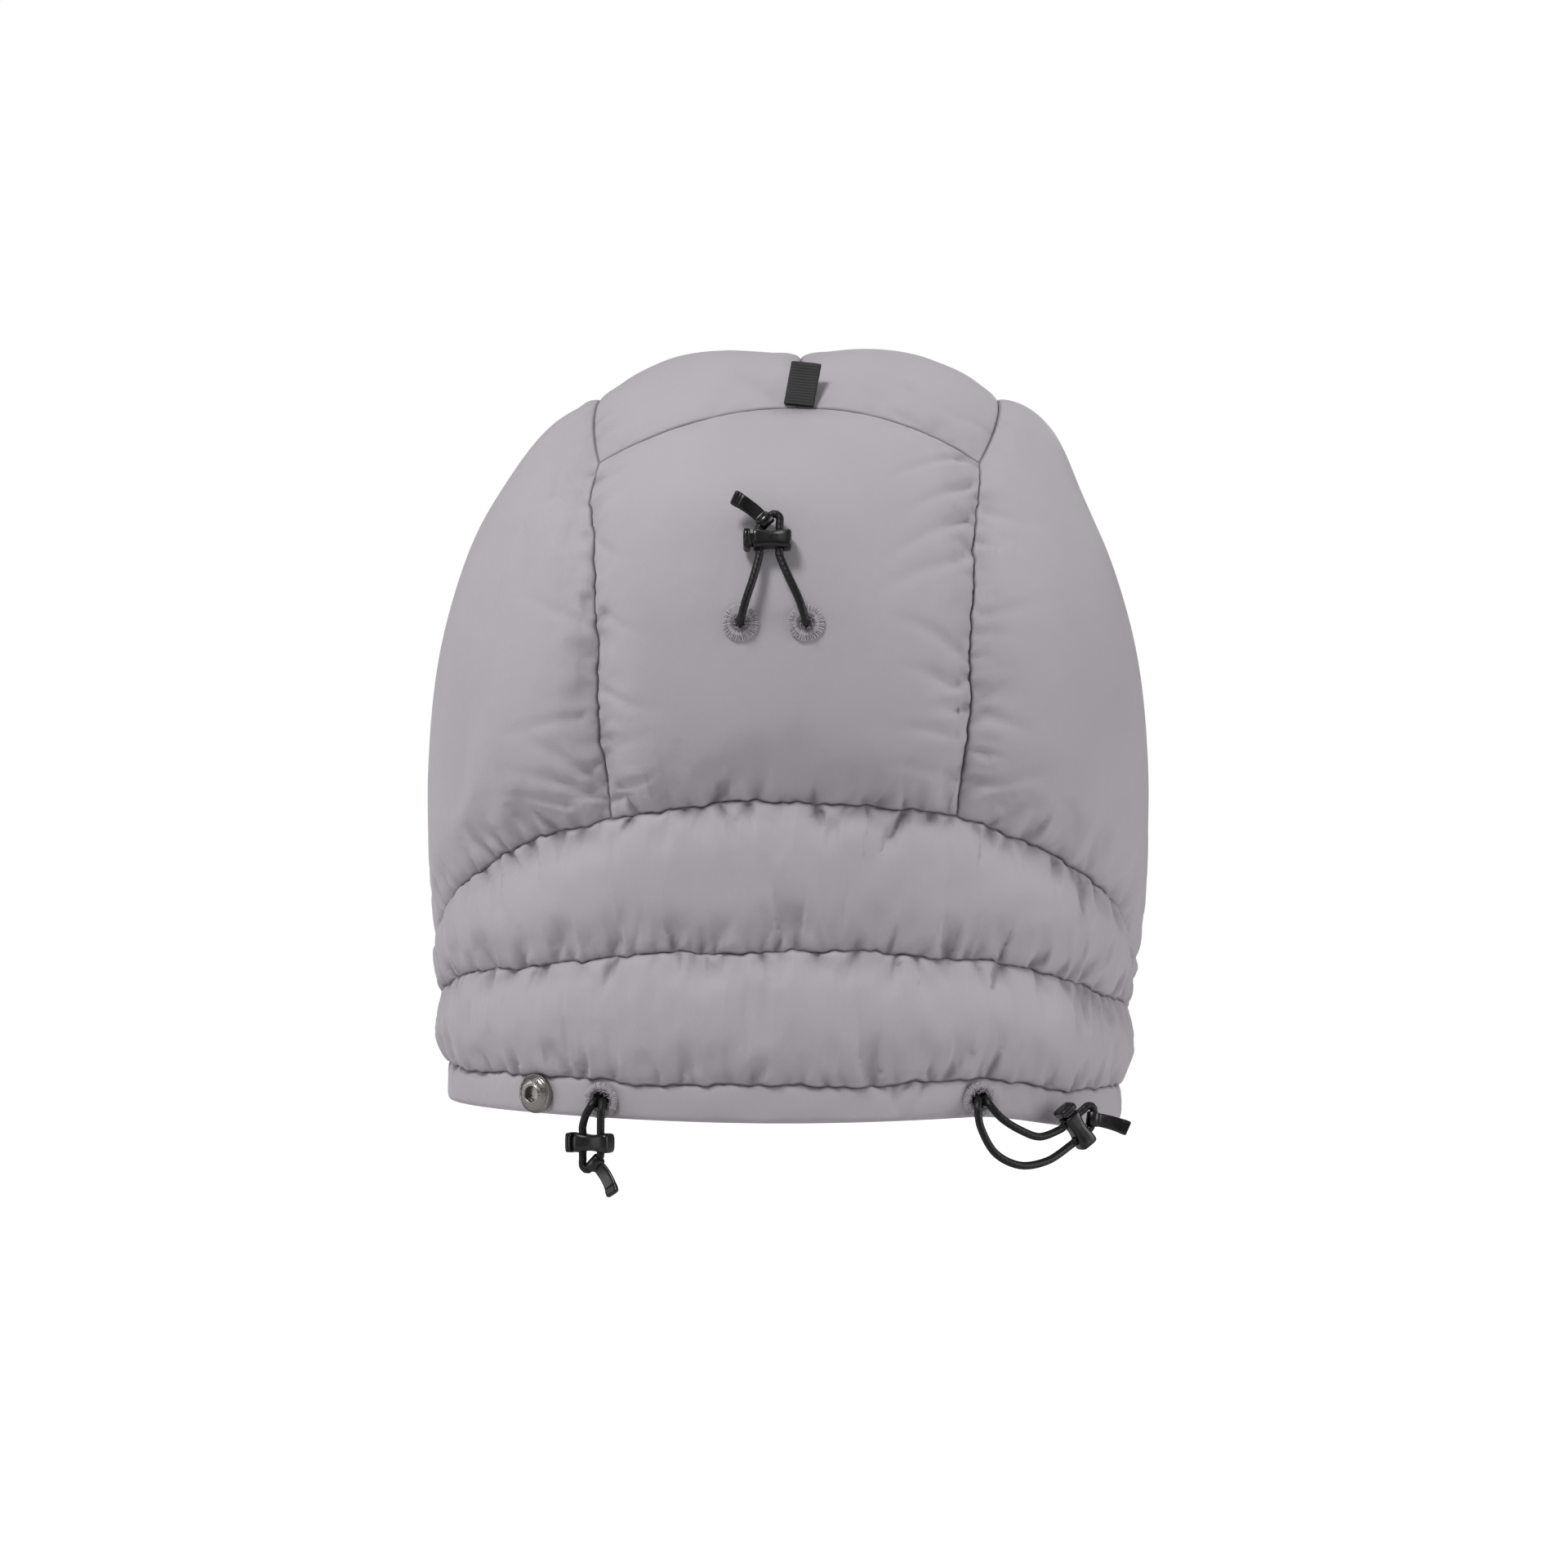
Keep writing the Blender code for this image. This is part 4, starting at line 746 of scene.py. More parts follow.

# %% [markdown]
# The cloth is a fine nylon taffeta with a soft hand: threads a tenth of a millimetre apart, so from a
# step away it reads as a smooth, slightly silky surface that turns a little lighter at grazing angles.
# The weave is drawn coarser than life, or it would vanish. A slow mottle stands for handling, and shade is
# painted into the colour along the stitching grooves and in the gathers' creases, which each piece stores
# as an attribute for the material.

# %% Taffeta finishes
WEAVE_PITCH = 0.00085
CRINKLE = 0.009


def taffeta(name, colour, dark, light):
    """Woven nylon: dielectric, rough, with a soft sheen from its fibres, and shade painted into its colour
    at seams and creases.
    """
    made, tree, shader = material(name, colour, 0.66, Sheen_Weight=0.22, IOR=1.53)
    shader.inputs["Sheen Roughness"].default_value = 0.45
    shader.inputs["Specular IOR Level"].default_value = 0.35
    place = add(tree, "ShaderNodeTexCoord")
    mottle = speckle(tree, place, 22.0, 3.0)
    blended = add(tree, "ShaderNodeMix",
                  {"Factor": mottle.outputs["Fac"], 6: linear(dark), 7: linear(light)},
                  data_type="RGBA")
    # Painted shade: the seam attribute mixes the colour towards 625D64 in the stitching grooves and crease
    # hollows.
    seam = add(tree, "ShaderNodeAttribute", attribute_name="seam")
    deep = add(tree, "ShaderNodeMix", {"Factor": seam.outputs["Fac"], 6: blended.outputs[2],
                                       7: linear("625D64")}, data_type="RGBA")
    tree.links.new(deep.outputs[2], shader.inputs["Base Color"])
    cloth = add(tree, "ShaderNodeUVMap", uv_map="cloth")
    weave = []
    for axis in ((1 / WEAVE_PITCH, 1 / WEAVE_PITCH, 0), (1 / WEAVE_PITCH, -1 / WEAVE_PITCH, 0)):
        line = add(tree, "ShaderNodeVectorMath", {0: cloth.outputs["UV"], 1: axis}, operation="DOT_PRODUCT")
        weave.append(add(tree, "ShaderNodeMath", {0: line.outputs["Value"], 1: 1.0}, operation="PINGPONG"))
    threads = add(tree, "ShaderNodeMath", {0: weave[0].outputs[0], 1: weave[1].outputs[0]}, operation="ADD")
    crinkle = add(tree, "ShaderNodeTexNoise", {"Vector": place.outputs["Object"], "Scale": 1 / CRINKLE,
                                               "Detail": 4.0, "Roughness": 0.55})
    fine = add(tree, "ShaderNodeBump", {"Height": threads.outputs[0], "Strength": 0.10, "Distance": 0.0002})
    soft = add(tree, "ShaderNodeBump", {"Height": crinkle.outputs["Fac"], "Strength": 0.35,
                                        "Distance": 0.0009, "Normal": fine.outputs["Normal"]})
    tree.links.new(soft.outputs["Normal"], shader.inputs["Normal"])
    return made


SHELL_CLOTH = taffeta("calendered nylon taffeta", "A8A3A9", "A29DA3", "ACA7AD")
LINING_CLOTH = taffeta("lining taffeta", "8C878E", "857F87", "938E95")

# %% [markdown]
# The seams are drawn once and shared by the panels on both sides of them. Each is a smooth curve on the
# seam surface, and the long ones wander by half a millimetre, because gathered cloth never lies straight.
# The right-hand end of the hem hangs lower than the left, so every point is let down a little there.

# %% Seams
NAPE_SEAM, NAPE_FALL, NAPE_POWER = 0.121, 0.056, 2.2
COLLAR_SEAM, COLLAR_FALL = 0.0645, 0.019
CROWN_SEAM, CROWN_FALL = 0.268, 0.020
WANDER = 0.0006
DROOP, DROOP_FROM, DROOP_OVER, DROOP_TOP = 0.0085, 0.070, 0.055, 0.17
CLOSED_ENDS = np.linspace(0, 1, 700)


def wander(angles, seed):
    """A small irregular rise and fall along a seam."""
    waves = [np.sin(angles * f + seed * 1.7 * f) * k
             for f, k in ((9.1, 1), (17.3, 0.5), (29.7, 0.4), (47.9, 0.45), (83.0, 0.35), (127.0, 0.22))]
    return WANDER * sum(waves)


def nape_height(angles):
    side = np.abs(angles) / (math.pi / 2)
    return NAPE_SEAM - NAPE_FALL * side ** NAPE_POWER + wander(angles, 1)


def collar_height(angles):
    side = np.abs(angles) / (math.pi / 2)
    return COLLAR_SEAM - COLLAR_FALL * side ** 2 + wander(angles, 2)


def band_height(angles):
    return HEM_BAND + hem_lift(angles) + wander(angles, 3)


def settled(points):
    """Placed points, let down at the wearer's right near the hem."""
    points = np.array(points, float)
    right = np.clip((points[..., 0] - DROOP_FROM) / DROOP_OVER, 0, 1)
    low = np.clip(1 - points[..., 2] / DROOP_TOP, 0, 1)
    fall = right * right * (3 - 2 * right) * low * low * (3 - 2 * low)
    found = placed(points)
    found[..., 2] -= DROOP * fall
    return found


def ring_seam(height_of, start, end, count=400):
    angles = np.linspace(start, end, count + 1)
    return ring_points(angles, height_of(angles))


def angle_where(height_of, test):
    angles = np.linspace(0.05, 2.8, 2751)
    return angles[np.argmax(test(ring_points(angles, height_of(angles)), angles))]


def reaches_face(points, angles):
    return points[:, 1] > FACE_REACH


def smooth_seam(stations):
    """A smooth curve through a few stations, on the seam surface."""
    return project(np.array(smooth_route([Vector(s) for s in stations], 0.002)))


COLLAR_END = angle_where(collar_height, reaches_face)
BAND_END = angle_where(band_height, reaches_face)
HEM_END = angle_where(hem_lift, reaches_face)
PANEL_ANGLE = angle_where(nape_height, lambda points, angles: points[:, 0] > 0.064)
TIP_OPENING = 0.004
TIP_ANGLE = angle_where(nape_height, lambda points, angles:
                        nape_height(angles) - collar_height(angles) < TIP_OPENING)
heights = np.linspace(float(hem_lift(HEM_END)), HOOD_HEIGHT, 3001)
share = 1 - (FACE_REACH / half_depth(heights, False)) ** SECTION_POWER
kept = share > 0
edge_x = half_width(heights[kept]) * share[kept] ** (1 / SECTION_POWER)
FACE_EDGE = np.stack([edge_x, np.full_like(edge_x, FACE_REACH), heights[kept]], -1)
FACE_EDGE = np.vstack([FACE_EDGE, [0, FACE_REACH, FACE_EDGE[-1, 2]]])
BRIM = np.argmax((FACE_EDGE[:, 0] < 0.075) & (FACE_EDGE[:, 2] > HOOD_HEIGHT / 2))
CROWN_CORNER = back_point(0.071, CROWN_SEAM - CROWN_FALL)


def mirrored(points):
    return points * [-1, 1, 1]


def side_seam(sign):
    """A side seam of the back panel, from the nape up to the crown seam."""
    angle = PANEL_ANGLE * sign
    corner = ring_points(angle, nape_height(angle)) * [sign, 1, 1]
    middle = back_point(0.069, (0.121 + CROWN_SEAM) / 2)
    seam = smooth_seam([corner, middle, CROWN_CORNER])
    way = np.linspace(0, 1, len(seam))
    seam[:, 0] += wander(way * 2.2, 4 + sign) * np.minimum(1, 8 * way * (1 - way))
    return project(seam) * [sign, 1, 1]


top_seam = smooth_seam([CROWN_CORNER, (0.077, 0, HOOD_HEIGHT * 0.95), FACE_EDGE[BRIM]])
across = np.linspace(0, 0.071, 81)
crown_seam = np.array([back_point(x, CROWN_SEAM - CROWN_FALL * (x / 0.071) ** 2) for x in across])
forward = np.linspace(crown_seam[0, 1], FACE_REACH, 121)
guess = np.stack([0 * forward, forward, HOOD_HEIGHT * (1 - 0.2 * (forward / FACE_REACH) ** 2)], -1)
guess[:, 2] = np.maximum(guess[:, 2], CROWN_SEAM)
middle_seam = project(guess)
middle_seam[0], middle_seam[-1] = crown_seam[0], FACE_EDGE[-1]
print("seam ends at", round(math.degrees(COLLAR_END)), "degrees round the head")


# %% Panel outlines: bottom, top, left and right seams
def panel_outlines():
    """The four seams of each panel, its puff, its grid, and how strongly each of its seams gathers."""
    outlines = {}
    crown_whole = np.vstack([mirrored(crown_seam[::-1]), crown_seam[1:]])
    outlines["back_centre"] = ([ring_seam(nape_height, -PANEL_ANGLE, PANEL_ANGLE), crown_whole,
                                side_seam(-1),
                                side_seam(1)], "back", (160, 112), (1.0, 0.10, 0.5, 0.5))
    brim = FACE_EDGE[BRIM:]
    for name, sign in (("left", -1), ("right", 1)):
        flip = np.array([sign, 1, 1])
        nape = ring_seam(nape_height, sign * PANEL_ANGLE, sign * TIP_ANGLE)
        collar = ring_seam(collar_height, sign * (TIP_ANGLE + 0.02), sign * COLLAR_END)
        low = np.vstack([nape, collar])
        face = FACE_EDGE[np.argmax(FACE_EDGE[:, 2] >= low[-1, 2]):BRIM + 1] * flip
        outlines[f"side_{name}"] = ([low, top_seam * flip, side_seam(sign), face], "side", (200, 120),
                                    (0.75, 0.1, 0.4, 0.1))
        outlines[f"crown_{name}"] = ([crown_seam * flip, brim[::-1] * flip, middle_seam, top_seam * flip],
                                     "crown", (64, 112), (0.14, 0.1, 0.05, 0.25))
    tips = [np.array([ring_points(a, h(a)) for h in (collar_height, nape_height)])
            for a in (-TIP_ANGLE, TIP_ANGLE)]
    outlines["nape_baffle"] = ([ring_seam(collar_height, -TIP_ANGLE, TIP_ANGLE),
                                ring_seam(nape_height, -TIP_ANGLE, TIP_ANGLE), *tips], "nape", (600, 52),
                               (1.0, 1.0, 0.3, 0.3))
    ends = [np.array([ring_points(s * BAND_END, band_height(s * BAND_END)),
                      ring_points(s * COLLAR_END, collar_height(s * COLLAR_END))]) for s in (-1, 1)]
    outlines["collar_baffle"] = ([ring_seam(band_height, -BAND_END, BAND_END),
                                  ring_seam(collar_height, -COLLAR_END, COLLAR_END), *ends], "collar",
                                 (680, 48), (0.8, 1.0, 0.1, 0.1))
    return outlines


def eased(count):
    """Places from 0 to 1 that lie closer together at both ends, where the cloth bends most."""
    even = np.linspace(0, 1, count + 1)
    return 0.35 * even + 0.65 * (1 - np.cos(np.pi * even)) / 2


def patch(seams, columns, rows):
    """A grid of points on the seam surface that fills the space between four seams."""
    bottom, top, left, right = seams
    u = np.linspace(0, 1, columns + 1) if columns > 4 * rows else eased(columns)
    v = eased(rows)
    low, high, start, end = between(bottom, u), between(top, u), between(left, v), between(right, v)
    s, t = u[None, :, None], v[:, None, None]
    grid = (1 - t) * low[None] + t * high[None] + (1 - s) * start[:, None] + s * end[:, None]
    grid -= (1 - s) * (1 - t) * low[0] + s * (1 - t) * low[-1] + (1 - s) * t * high[0] + s * t * high[-1]
    inner = project(grid[1:-1, 1:-1])
    grid[0], grid[-1], grid[:, 0], grid[:, -1] = low, high, start, end
    grid[1:-1, 1:-1] = inner
    return grid


def seam_distances(grid, seams):
    """How far each point is from each of the four seams, and how far along that seam it lies."""
    found = []
    for seam in seams:
        dense = between(seam, CLOSED_ENDS)
        way = np.concatenate([[0], np.cumsum(np.linalg.norm(np.diff(dense, axis=0), axis=1))])
        distance, along = np.empty(grid.shape[:2]), np.empty(grid.shape[:2])
        for row in range(len(grid)):
            apart = np.linalg.norm(grid[row][:, None] - dense[None], axis=-1)
            nearest = apart.argmin(1)
            distance[row], along[row] = apart[np.arange(len(nearest)), nearest], way[nearest]
        found.append((distance, along))
    return found


def puffed(distance, height, reach=PUFF_REACH):
    """How far a filled panel stands off its seam level, rising steeply at the stitching."""
    near = np.clip(distance / reach, 0, 1)
    return height * np.sqrt(1 - (1 - near) ** 2)


# How soon each panel fills out from its bottom, top, left and right seams: slowly where its batt is thin.
REACHES = {"side": (0.022, 0.085, 0.036, 0.022), "back": (0.020, 0.060, 0.024, 0.024),
           "crown": (0.040, 0.022, 0.016, 0.034), "nape": (0.018,) * 4, "collar": (0.017,) * 4}
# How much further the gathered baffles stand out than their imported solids, which are drawn full but calm.
STANDS_PROUD = {"nape": 0.0014, "collar": 0.0012}


OUTLINES = panel_outlines()
print(len(OUTLINES), "panels:", ", ".join(OUTLINES))

# %% [markdown]
# Each panel is a pad: outer cloth, batt and lining, closed along its seams. The outer cloth is cut
# larger than the space it fills, pinned along its stitching and blown up by the batt, which is a job for
# cloth simulation: all seven outer faces are simulated together as one mesh with its seams pinned, 20
# frames of outward pressure with no gravity. What is kept is how each point moved, capped, so the
# cloth stays in the room its solid has. Around the eyelets and the lock the cloth is left calm.

# %% Cloth simulation of the outer faces
SIM_ROWS, SIM_COLUMNS = 2, 4
PRESSURE = 4.0
EXTRA_CLOTH = 0.035
CALM = [((-0.004, -0.130, -0.075), 0.022, 0.050)]


def grid_faces(rows, columns, first=0):
    wide = columns + 1
    return [(first + r * wide + c, first + r * wide + c + 1, first + (r + 1) * wide + c + 1,
             first + (r + 1) * wide + c) for r in range(rows) for c in range(columns)]


def simulate(starts):
    """The grids of points, after 20 frames as pinned cloth under pressure."""
    verts = np.concatenate([s.reshape(-1, 3) for s in starts])
    faces, pins, first = [], [], 0
    for s in starts:
        rows, columns = s.shape[0] - 1, s.shape[1] - 1
        faces += grid_faces(rows, columns, first)
        index = np.arange(s.shape[0] * s.shape[1]).reshape(s.shape[:2])
        edge = np.ones(s.shape[:2], bool)
        edge[1:-1, 1:-1] = False
        pins += (index[edge] + first).tolist()
        first += index.size
    obj = mesh_object("cloth_sheets", verts, faces)
    group = obj.vertex_groups.new(name="stitching")
    group.add(pins, 1.0, "REPLACE")
    cloth = obj.modifiers.new("Cloth", "CLOTH")
    settings = cloth.settings
    settings.quality = 6
    settings.mass = 0.25
    settings.tension_stiffness = 12
    settings.compression_stiffness = 12
    settings.shear_stiffness = 4
    settings.bending_stiffness = 0.25
    settings.vertex_group_mass = "stitching"
    settings.shrink_min = -EXTRA_CLOTH
    settings.use_pressure = True
    settings.uniform_pressure_force = PRESSURE
    settings.effector_weights.gravity = 0
    scene = bpy.context.scene
    for number in range(1, 21):
        scene.frame_set(number)
    evaluated = obj.evaluated_get(bpy.context.evaluated_depsgraph_get())
    moved = np.empty(len(verts) * 3)
    evaluated.data.vertices.foreach_get("co", moved)
    moved = moved.reshape(-1, 3)
    bpy.data.objects.remove(obj, do_unlink=True)
    scene.frame_set(1)
    found, first = [], 0
    for s in starts:
        size = s.shape[0] * s.shape[1]
        found.append(moved[first:first + size].reshape(s.shape))
        first += size
    return found


def smoothed(field, times):
    for _ in range(times):
        inner = field[1:-1, 1:-1]
        around = field[:-2, 1:-1] + field[2:, 1:-1] + field[1:-1, :-2] + field[1:-1, 2:]
        field = field.copy()
        field[1:-1, 1:-1] = inner * 0.5 + around * 0.125
    return field


def finer(field):
    """A grid of vectors read at every place between the simulation's points as well."""
    rows, columns = field.shape[0] - 1, field.shape[1] - 1
    old_rows, old_columns = np.arange(rows + 1), np.arange(columns + 1)
    new_rows = np.linspace(0, rows, rows * SIM_ROWS + 1)
    new_columns = np.linspace(0, columns, columns * SIM_COLUMNS + 1)
    wide = np.stack([[np.interp(new_columns, old_columns, field[r, :, k]) for r in range(rows + 1)]
                     for k in range(3)], -1)
    tall = np.stack([[np.interp(new_rows, old_rows, wide[:, c, k]) for c in range(wide.shape[1])]
                     for k in range(3)], -1)
    return smoothed(np.swapaxes(tall, 0, 1), 6)


def calm_share(points):
    """1 where cloth may move and 0 around hardware that rests against it."""
    share_ = np.ones(points.shape[:-1])
    for centre, inner, outer in CALM:
        away = np.linalg.norm((points - np.array(centre)) * [1, 1, 0.75], axis=-1)
        share_ *= np.clip((away - inner) / (outer - inner), 0, 1)
    return share_


MOST_OUT, MOST_SIDEWAYS, SWELL_KEPT = 0.0018, 0.0012, 0.6
grids, sheets, billows = {}, {}, {}
for name, (seams, kind, (columns, rows), _) in OUTLINES.items():
    grid = patch(seams, columns, rows)
    out = normals(grid)
    sides = seam_distances(grid, seams)
    nearest = np.min([d for d, _ in sides], axis=0)
    reaches = REACHES.get(kind, (PUFF_REACH,) * 4)
    height = PUFF[kind] + STANDS_PROUD.get(kind, 0)
    rise = height * np.prod([puffed(d, 1, reach) for (d, _), reach in zip(sides, reaches)], axis=0)
    grids[name] = (grid, out, sides, nearest, rise)
    sheets[name] = (grid + out * (SEAM_OUT + 0.8 * rise)[..., None])[::SIM_ROWS, ::SIM_COLUMNS]
moves = [after - before for after, before in zip(simulate(list(sheets.values())), sheets.values())]
for (name, (grid, out, sides, nearest, rise)), move in zip(grids.items(), moves):
    coarse_out = out[::SIM_ROWS, ::SIM_COLUMNS]
    coarse_rise = rise[::SIM_ROWS, ::SIM_COLUMNS]
    outward = np.sum(move * coarse_out, -1)
    sideways = move - outward[..., None] * coarse_out
    drift = np.linalg.norm(sideways, axis=-1, keepdims=True)
    sideways *= np.minimum(1, MOST_SIDEWAYS / np.maximum(drift, 1e-9))
    outward = MOST_OUT * np.tanh((outward - 0.2 * coarse_rise) * SWELL_KEPT / MOST_OUT)
    near = np.clip(nearest[::SIM_ROWS, ::SIM_COLUMNS] / 0.008, 0, 1)[..., None]
    kept_move = (outward[..., None] * coarse_out + sideways) * near
    kept_move *= calm_share(placed(grid[::SIM_ROWS, ::SIM_COLUMNS]))[..., None]
    billows[name] = finer(kept_move)
    print(name, "billows out by up to", round(float(outward.max()) * 1000, 1), "mm")

# %% [markdown]
# Where a seam is sewn through a gathered panel, the spare cloth stands in short folds that run out of the
# stitching and fade into the puff. They are finer than the simulation's mesh, so they are shaped after it:
# along each seam, dents at uneven spacings, narrow and deep at the thread, wider and shallower further
# out, and a few long, soft ones. A dent takes away a share of the puff, so it always ends in the seam.

# %% Gathers
rng = np.random.default_rng(7)
FOLD_SPACING, FOLD_REACH, FOLD_WIDTH = 0.0088, 0.0062, 0.00125
LONG_SPACING, LONG_REACH, LONG_WIDTH = 0.034, 0.017, 0.0038


def folds(distance, along, strength, spacing, reach, width, depth):
    """The share of the puff that folds along one seam take away."""
    taken = np.zeros_like(distance)
    place, end = 0.0, along.max()
    while place < end:
        place += spacing * rng.uniform(0.35, 1.75)
        deep = depth * rng.uniform(0.3, 1.0) ** 1.8
        far, wide = reach * rng.uniform(0.5, 1.7), width * rng.uniform(0.7, 1.5)
        slant = rng.uniform(-0.55, 0.55)
        spread = wide * (1 + distance / (far * 0.9))
        side = (along - place - slant * distance) / spread
        taken += deep * np.exp(-np.abs(side) ** 1.4 - (distance / far) ** 1.5)
    return strength * taken


def gathered(sides, strengths):
    """The share of its puff that each point of a panel keeps."""
    taken = np.zeros_like(sides[0][0])
    for (distance, along), strength in zip(sides, strengths):
        taken += folds(distance, along, strength, FOLD_SPACING, FOLD_REACH, FOLD_WIDTH, 1.0)
        taken += folds(distance, along, min(1, strength * 1.2), LONG_SPACING, LONG_REACH, LONG_WIDTH, 0.15)
    return 1 - 0.95 * np.tanh(2.0 * taken)


# %% [markdown]
# The cloth also drags in long soft lines away from its corners and from a few places along the upright
# seams: where each starts and ends (x and z in millimetres), how wide it is and how deep.

# %% Drag lines
DRAGS = [(69, -37, 34, -52, 1.9, 1.7), (70, -48, 40, -64, 2.1, 1.8), (69, -60, 34, -80, 2.4, 1.9),
         (67, -76, 30, -92, 2.6, 1.5), (64, -110, 34, -98, 2.5, 1.6), (63, -122, 38, -116, 2.1, 1.4),
         (62, -140, 36, -138, 2.2, 1.2), (-71, -66, -52, -76, 1.8, 1.6), (-70, -92, -45, -103, 2.0, 1.8),
         (-70, -121, -42, -129, 2.1, 1.8), (-68, -140, -44, -136, 2.2, 1.4), (-74, -52, -94, -61, 1.9, 1.5),
         (-73, -100, -98, -92, 2.4, 1.2), (-72, -134, -100, -142, 2.4, 1.4), (72, -56, 94, -65, 2.0, 1.4),
         (69, -96, 94, -89, 2.3, 1.3), (67, -128, 92, -137, 2.4, 1.4), (42, -21, 68, -32, 1.8, 1.5),
         (48, -13, 74, -25, 1.7, 1.4), (-68, -26, -48, -17, 1.9, 1.2), (58, -154, 34, -150, 2.2, 1.4),
         (-68, -157, -98, -138, 2.6, 1.9), (-66, -162, -100, -152, 2.4, 1.6),
         (-78, -166, -104, -162, 2.4, 1.3), (66, -158, 96, -146, 2.6, 1.5),
         (80, -166, 108, -160, 2.4, 1.3), (-60, -158, -40, -146, 2.2, 1.3)]


def drags(grid, nearest):
    """How far the drag lines push each point of a panel in or out."""
    points = placed(grid)
    flat = points[..., [0, 2]] * 1000
    found = np.zeros(flat.shape[:-1])
    for x0, z0, x1, z1, wide, deep in DRAGS:
        way = np.array([x1 - x0, z1 - z0], float)
        length = np.linalg.norm(way)
        way /= length
        along = (flat - [x0, z0]) @ way / length
        off = ((flat - [x0, z0]) @ [-way[1], way[0]] + 1.6 * np.sin(along * 2.6)) / wide
        ends = np.clip(1 - along, 0, 1) * np.clip(1.15 + along, 0, 1) * np.clip((along + 0.15) * 6, 0, 1)
        found -= deep / 1000 * (1 - 0.9 * off) * np.exp(-off ** 2) * ends
    return found * (points[..., 1] < 0) * np.clip(nearest / 0.005, 0, 1) * calm_share(points)


# %% Pads: outer face, rim and lining
# Painted shade: how far it reaches from the stitching, and how dark it is painted in the gathers' folds.
SEAM_SHADE_REACH = 0.0005
FOLD_SHADE, FOLD_SHADE_REACH = 0.75, 0.006
LINING_FOLDS = 0.0006


def lengths_along(grid, axis):
    steps = np.linalg.norm(np.diff(grid, axis=axis), axis=-1)
    start = np.zeros_like(np.take(steps, [0], axis=axis))
    return np.concatenate([start, np.cumsum(steps, axis=axis)], axis=axis)


def pad_object(name, outer, inner, shade, finishes):
    """A closed pad between two grids of points, with its cloth's UV map and its seam attribute of painted
    shade.
    """
    rows, columns = outer.shape[0] - 1, outer.shape[1] - 1
    count = outer.shape[0] * outer.shape[1]
    index = np.arange(count).reshape(outer.shape[:2])
    rim = np.concatenate([index[0], index[1:, -1], index[-1, -2::-1], index[-2:0:-1, 0]])
    faces = grid_faces(rows, columns) + [f[::-1] for f in grid_faces(rows, columns, count)]
    sheet_faces = rows * columns
    faces += [(a + count, b + count, b, a) for a, b in zip(rim, np.roll(rim, -1))]
    verts = np.concatenate([outer.reshape(-1, 3), inner.reshape(-1, 3)])
    obj = mesh_object(name, verts, faces, finishes)
    mesh = obj.data
    slots = np.zeros(len(faces), np.int32)
    slots[sheet_faces:2 * sheet_faces] = 1
    mesh.polygons.foreach_set("material_index", slots)
    flat = np.stack([lengths_along(outer, 1), lengths_along(outer, 0)], -1).reshape(-1, 2)
    lay_cloth(obj, np.concatenate([flat, flat]))
    # The seam attribute holds painted shade: full on the outer cloth, half on the lining.
    seam = mesh.attributes.new("seam", "FLOAT", "POINT")
    seam.data.foreach_set("value", np.concatenate([shade, shade * 0.5]).astype(np.float32))
    return outwards(obj)


def make_pad(name):
    grid, out, sides, nearest, rise = grids[name]
    strengths = OUTLINES[name][3]
    kept = gathered(sides, strengths)
    kept = kept + (1 - kept) * (1 - calm_share(placed(grid)))
    if name == "back_centre":
        kept *= 1 - 0.6 * np.exp(-(grid[..., 0] / 0.012) ** 2 - (sides[1][0] / 0.020) ** 2)
    lift = (out * rise[..., None] + billows[name]) * kept[..., None]
    outer = settled(grid + out * SEAM_OUT + lift + out * drags(grid, nearest)[..., None])
    turn = np.arctan2(grid[..., 0], -grid[..., 1])
    soft = LINING_FOLDS * np.sin(turn * 31 + 2.4 * np.sin(grid[..., 2] * 75))
    inner = settled(grid - out * (LINING_DEEP + puffed(nearest, PUFF_INSIDE + soft))[..., None])
    # Painted shade for the seam attribute: dark on the stitching, and darker where folds take away the puff
    # near a seam.
    shade = np.exp(-(nearest / SEAM_SHADE_REACH) ** 2)
    shade = np.maximum(shade, FOLD_SHADE * (1 - kept) * np.exp(-(nearest / FOLD_SHADE_REACH) ** 2)).ravel()
    obj = pad_object(f"pad_{name}", outer, inner, shade, [SHELL_CLOTH, LINING_CLOTH])
    return obj


pads = {name: make_pad(name) for name in OUTLINES}
print("pads have", sum(len(p.data.polygons) for p in pads.values()), "faces")

# %% [markdown]
# The embroidered eyelets are worked over a hole: the cord has to go in through the cloth, so the holes
# are really cut. A Boolean modifier with a drill-shaped mesh does it after the shape is final, and the
# result is kept as a plain mesh.

# %% Holes for the cords
PAD_DRILL, BAND_DRILL = (0.0023, 0.0042), (0.0039, 0.0046)


def drilled(obj, places, radius, depth):
    """The object with round holes cut at the frames' origins, along their Z."""
    drills = []
    for place in places:
        drill = bmesh.new()
        bmesh.ops.create_cone(drill, cap_ends=True, segments=28, radius1=radius, radius2=radius,
                              depth=2 * depth)
        data = bpy.data.meshes.new("drill")
        drill.to_mesh(data)
        drill.free()
        data.transform(place)
        drills.append(link(bpy.data.objects.new("drill", data)))
    return carved(obj, drills, "DIFFERENCE")


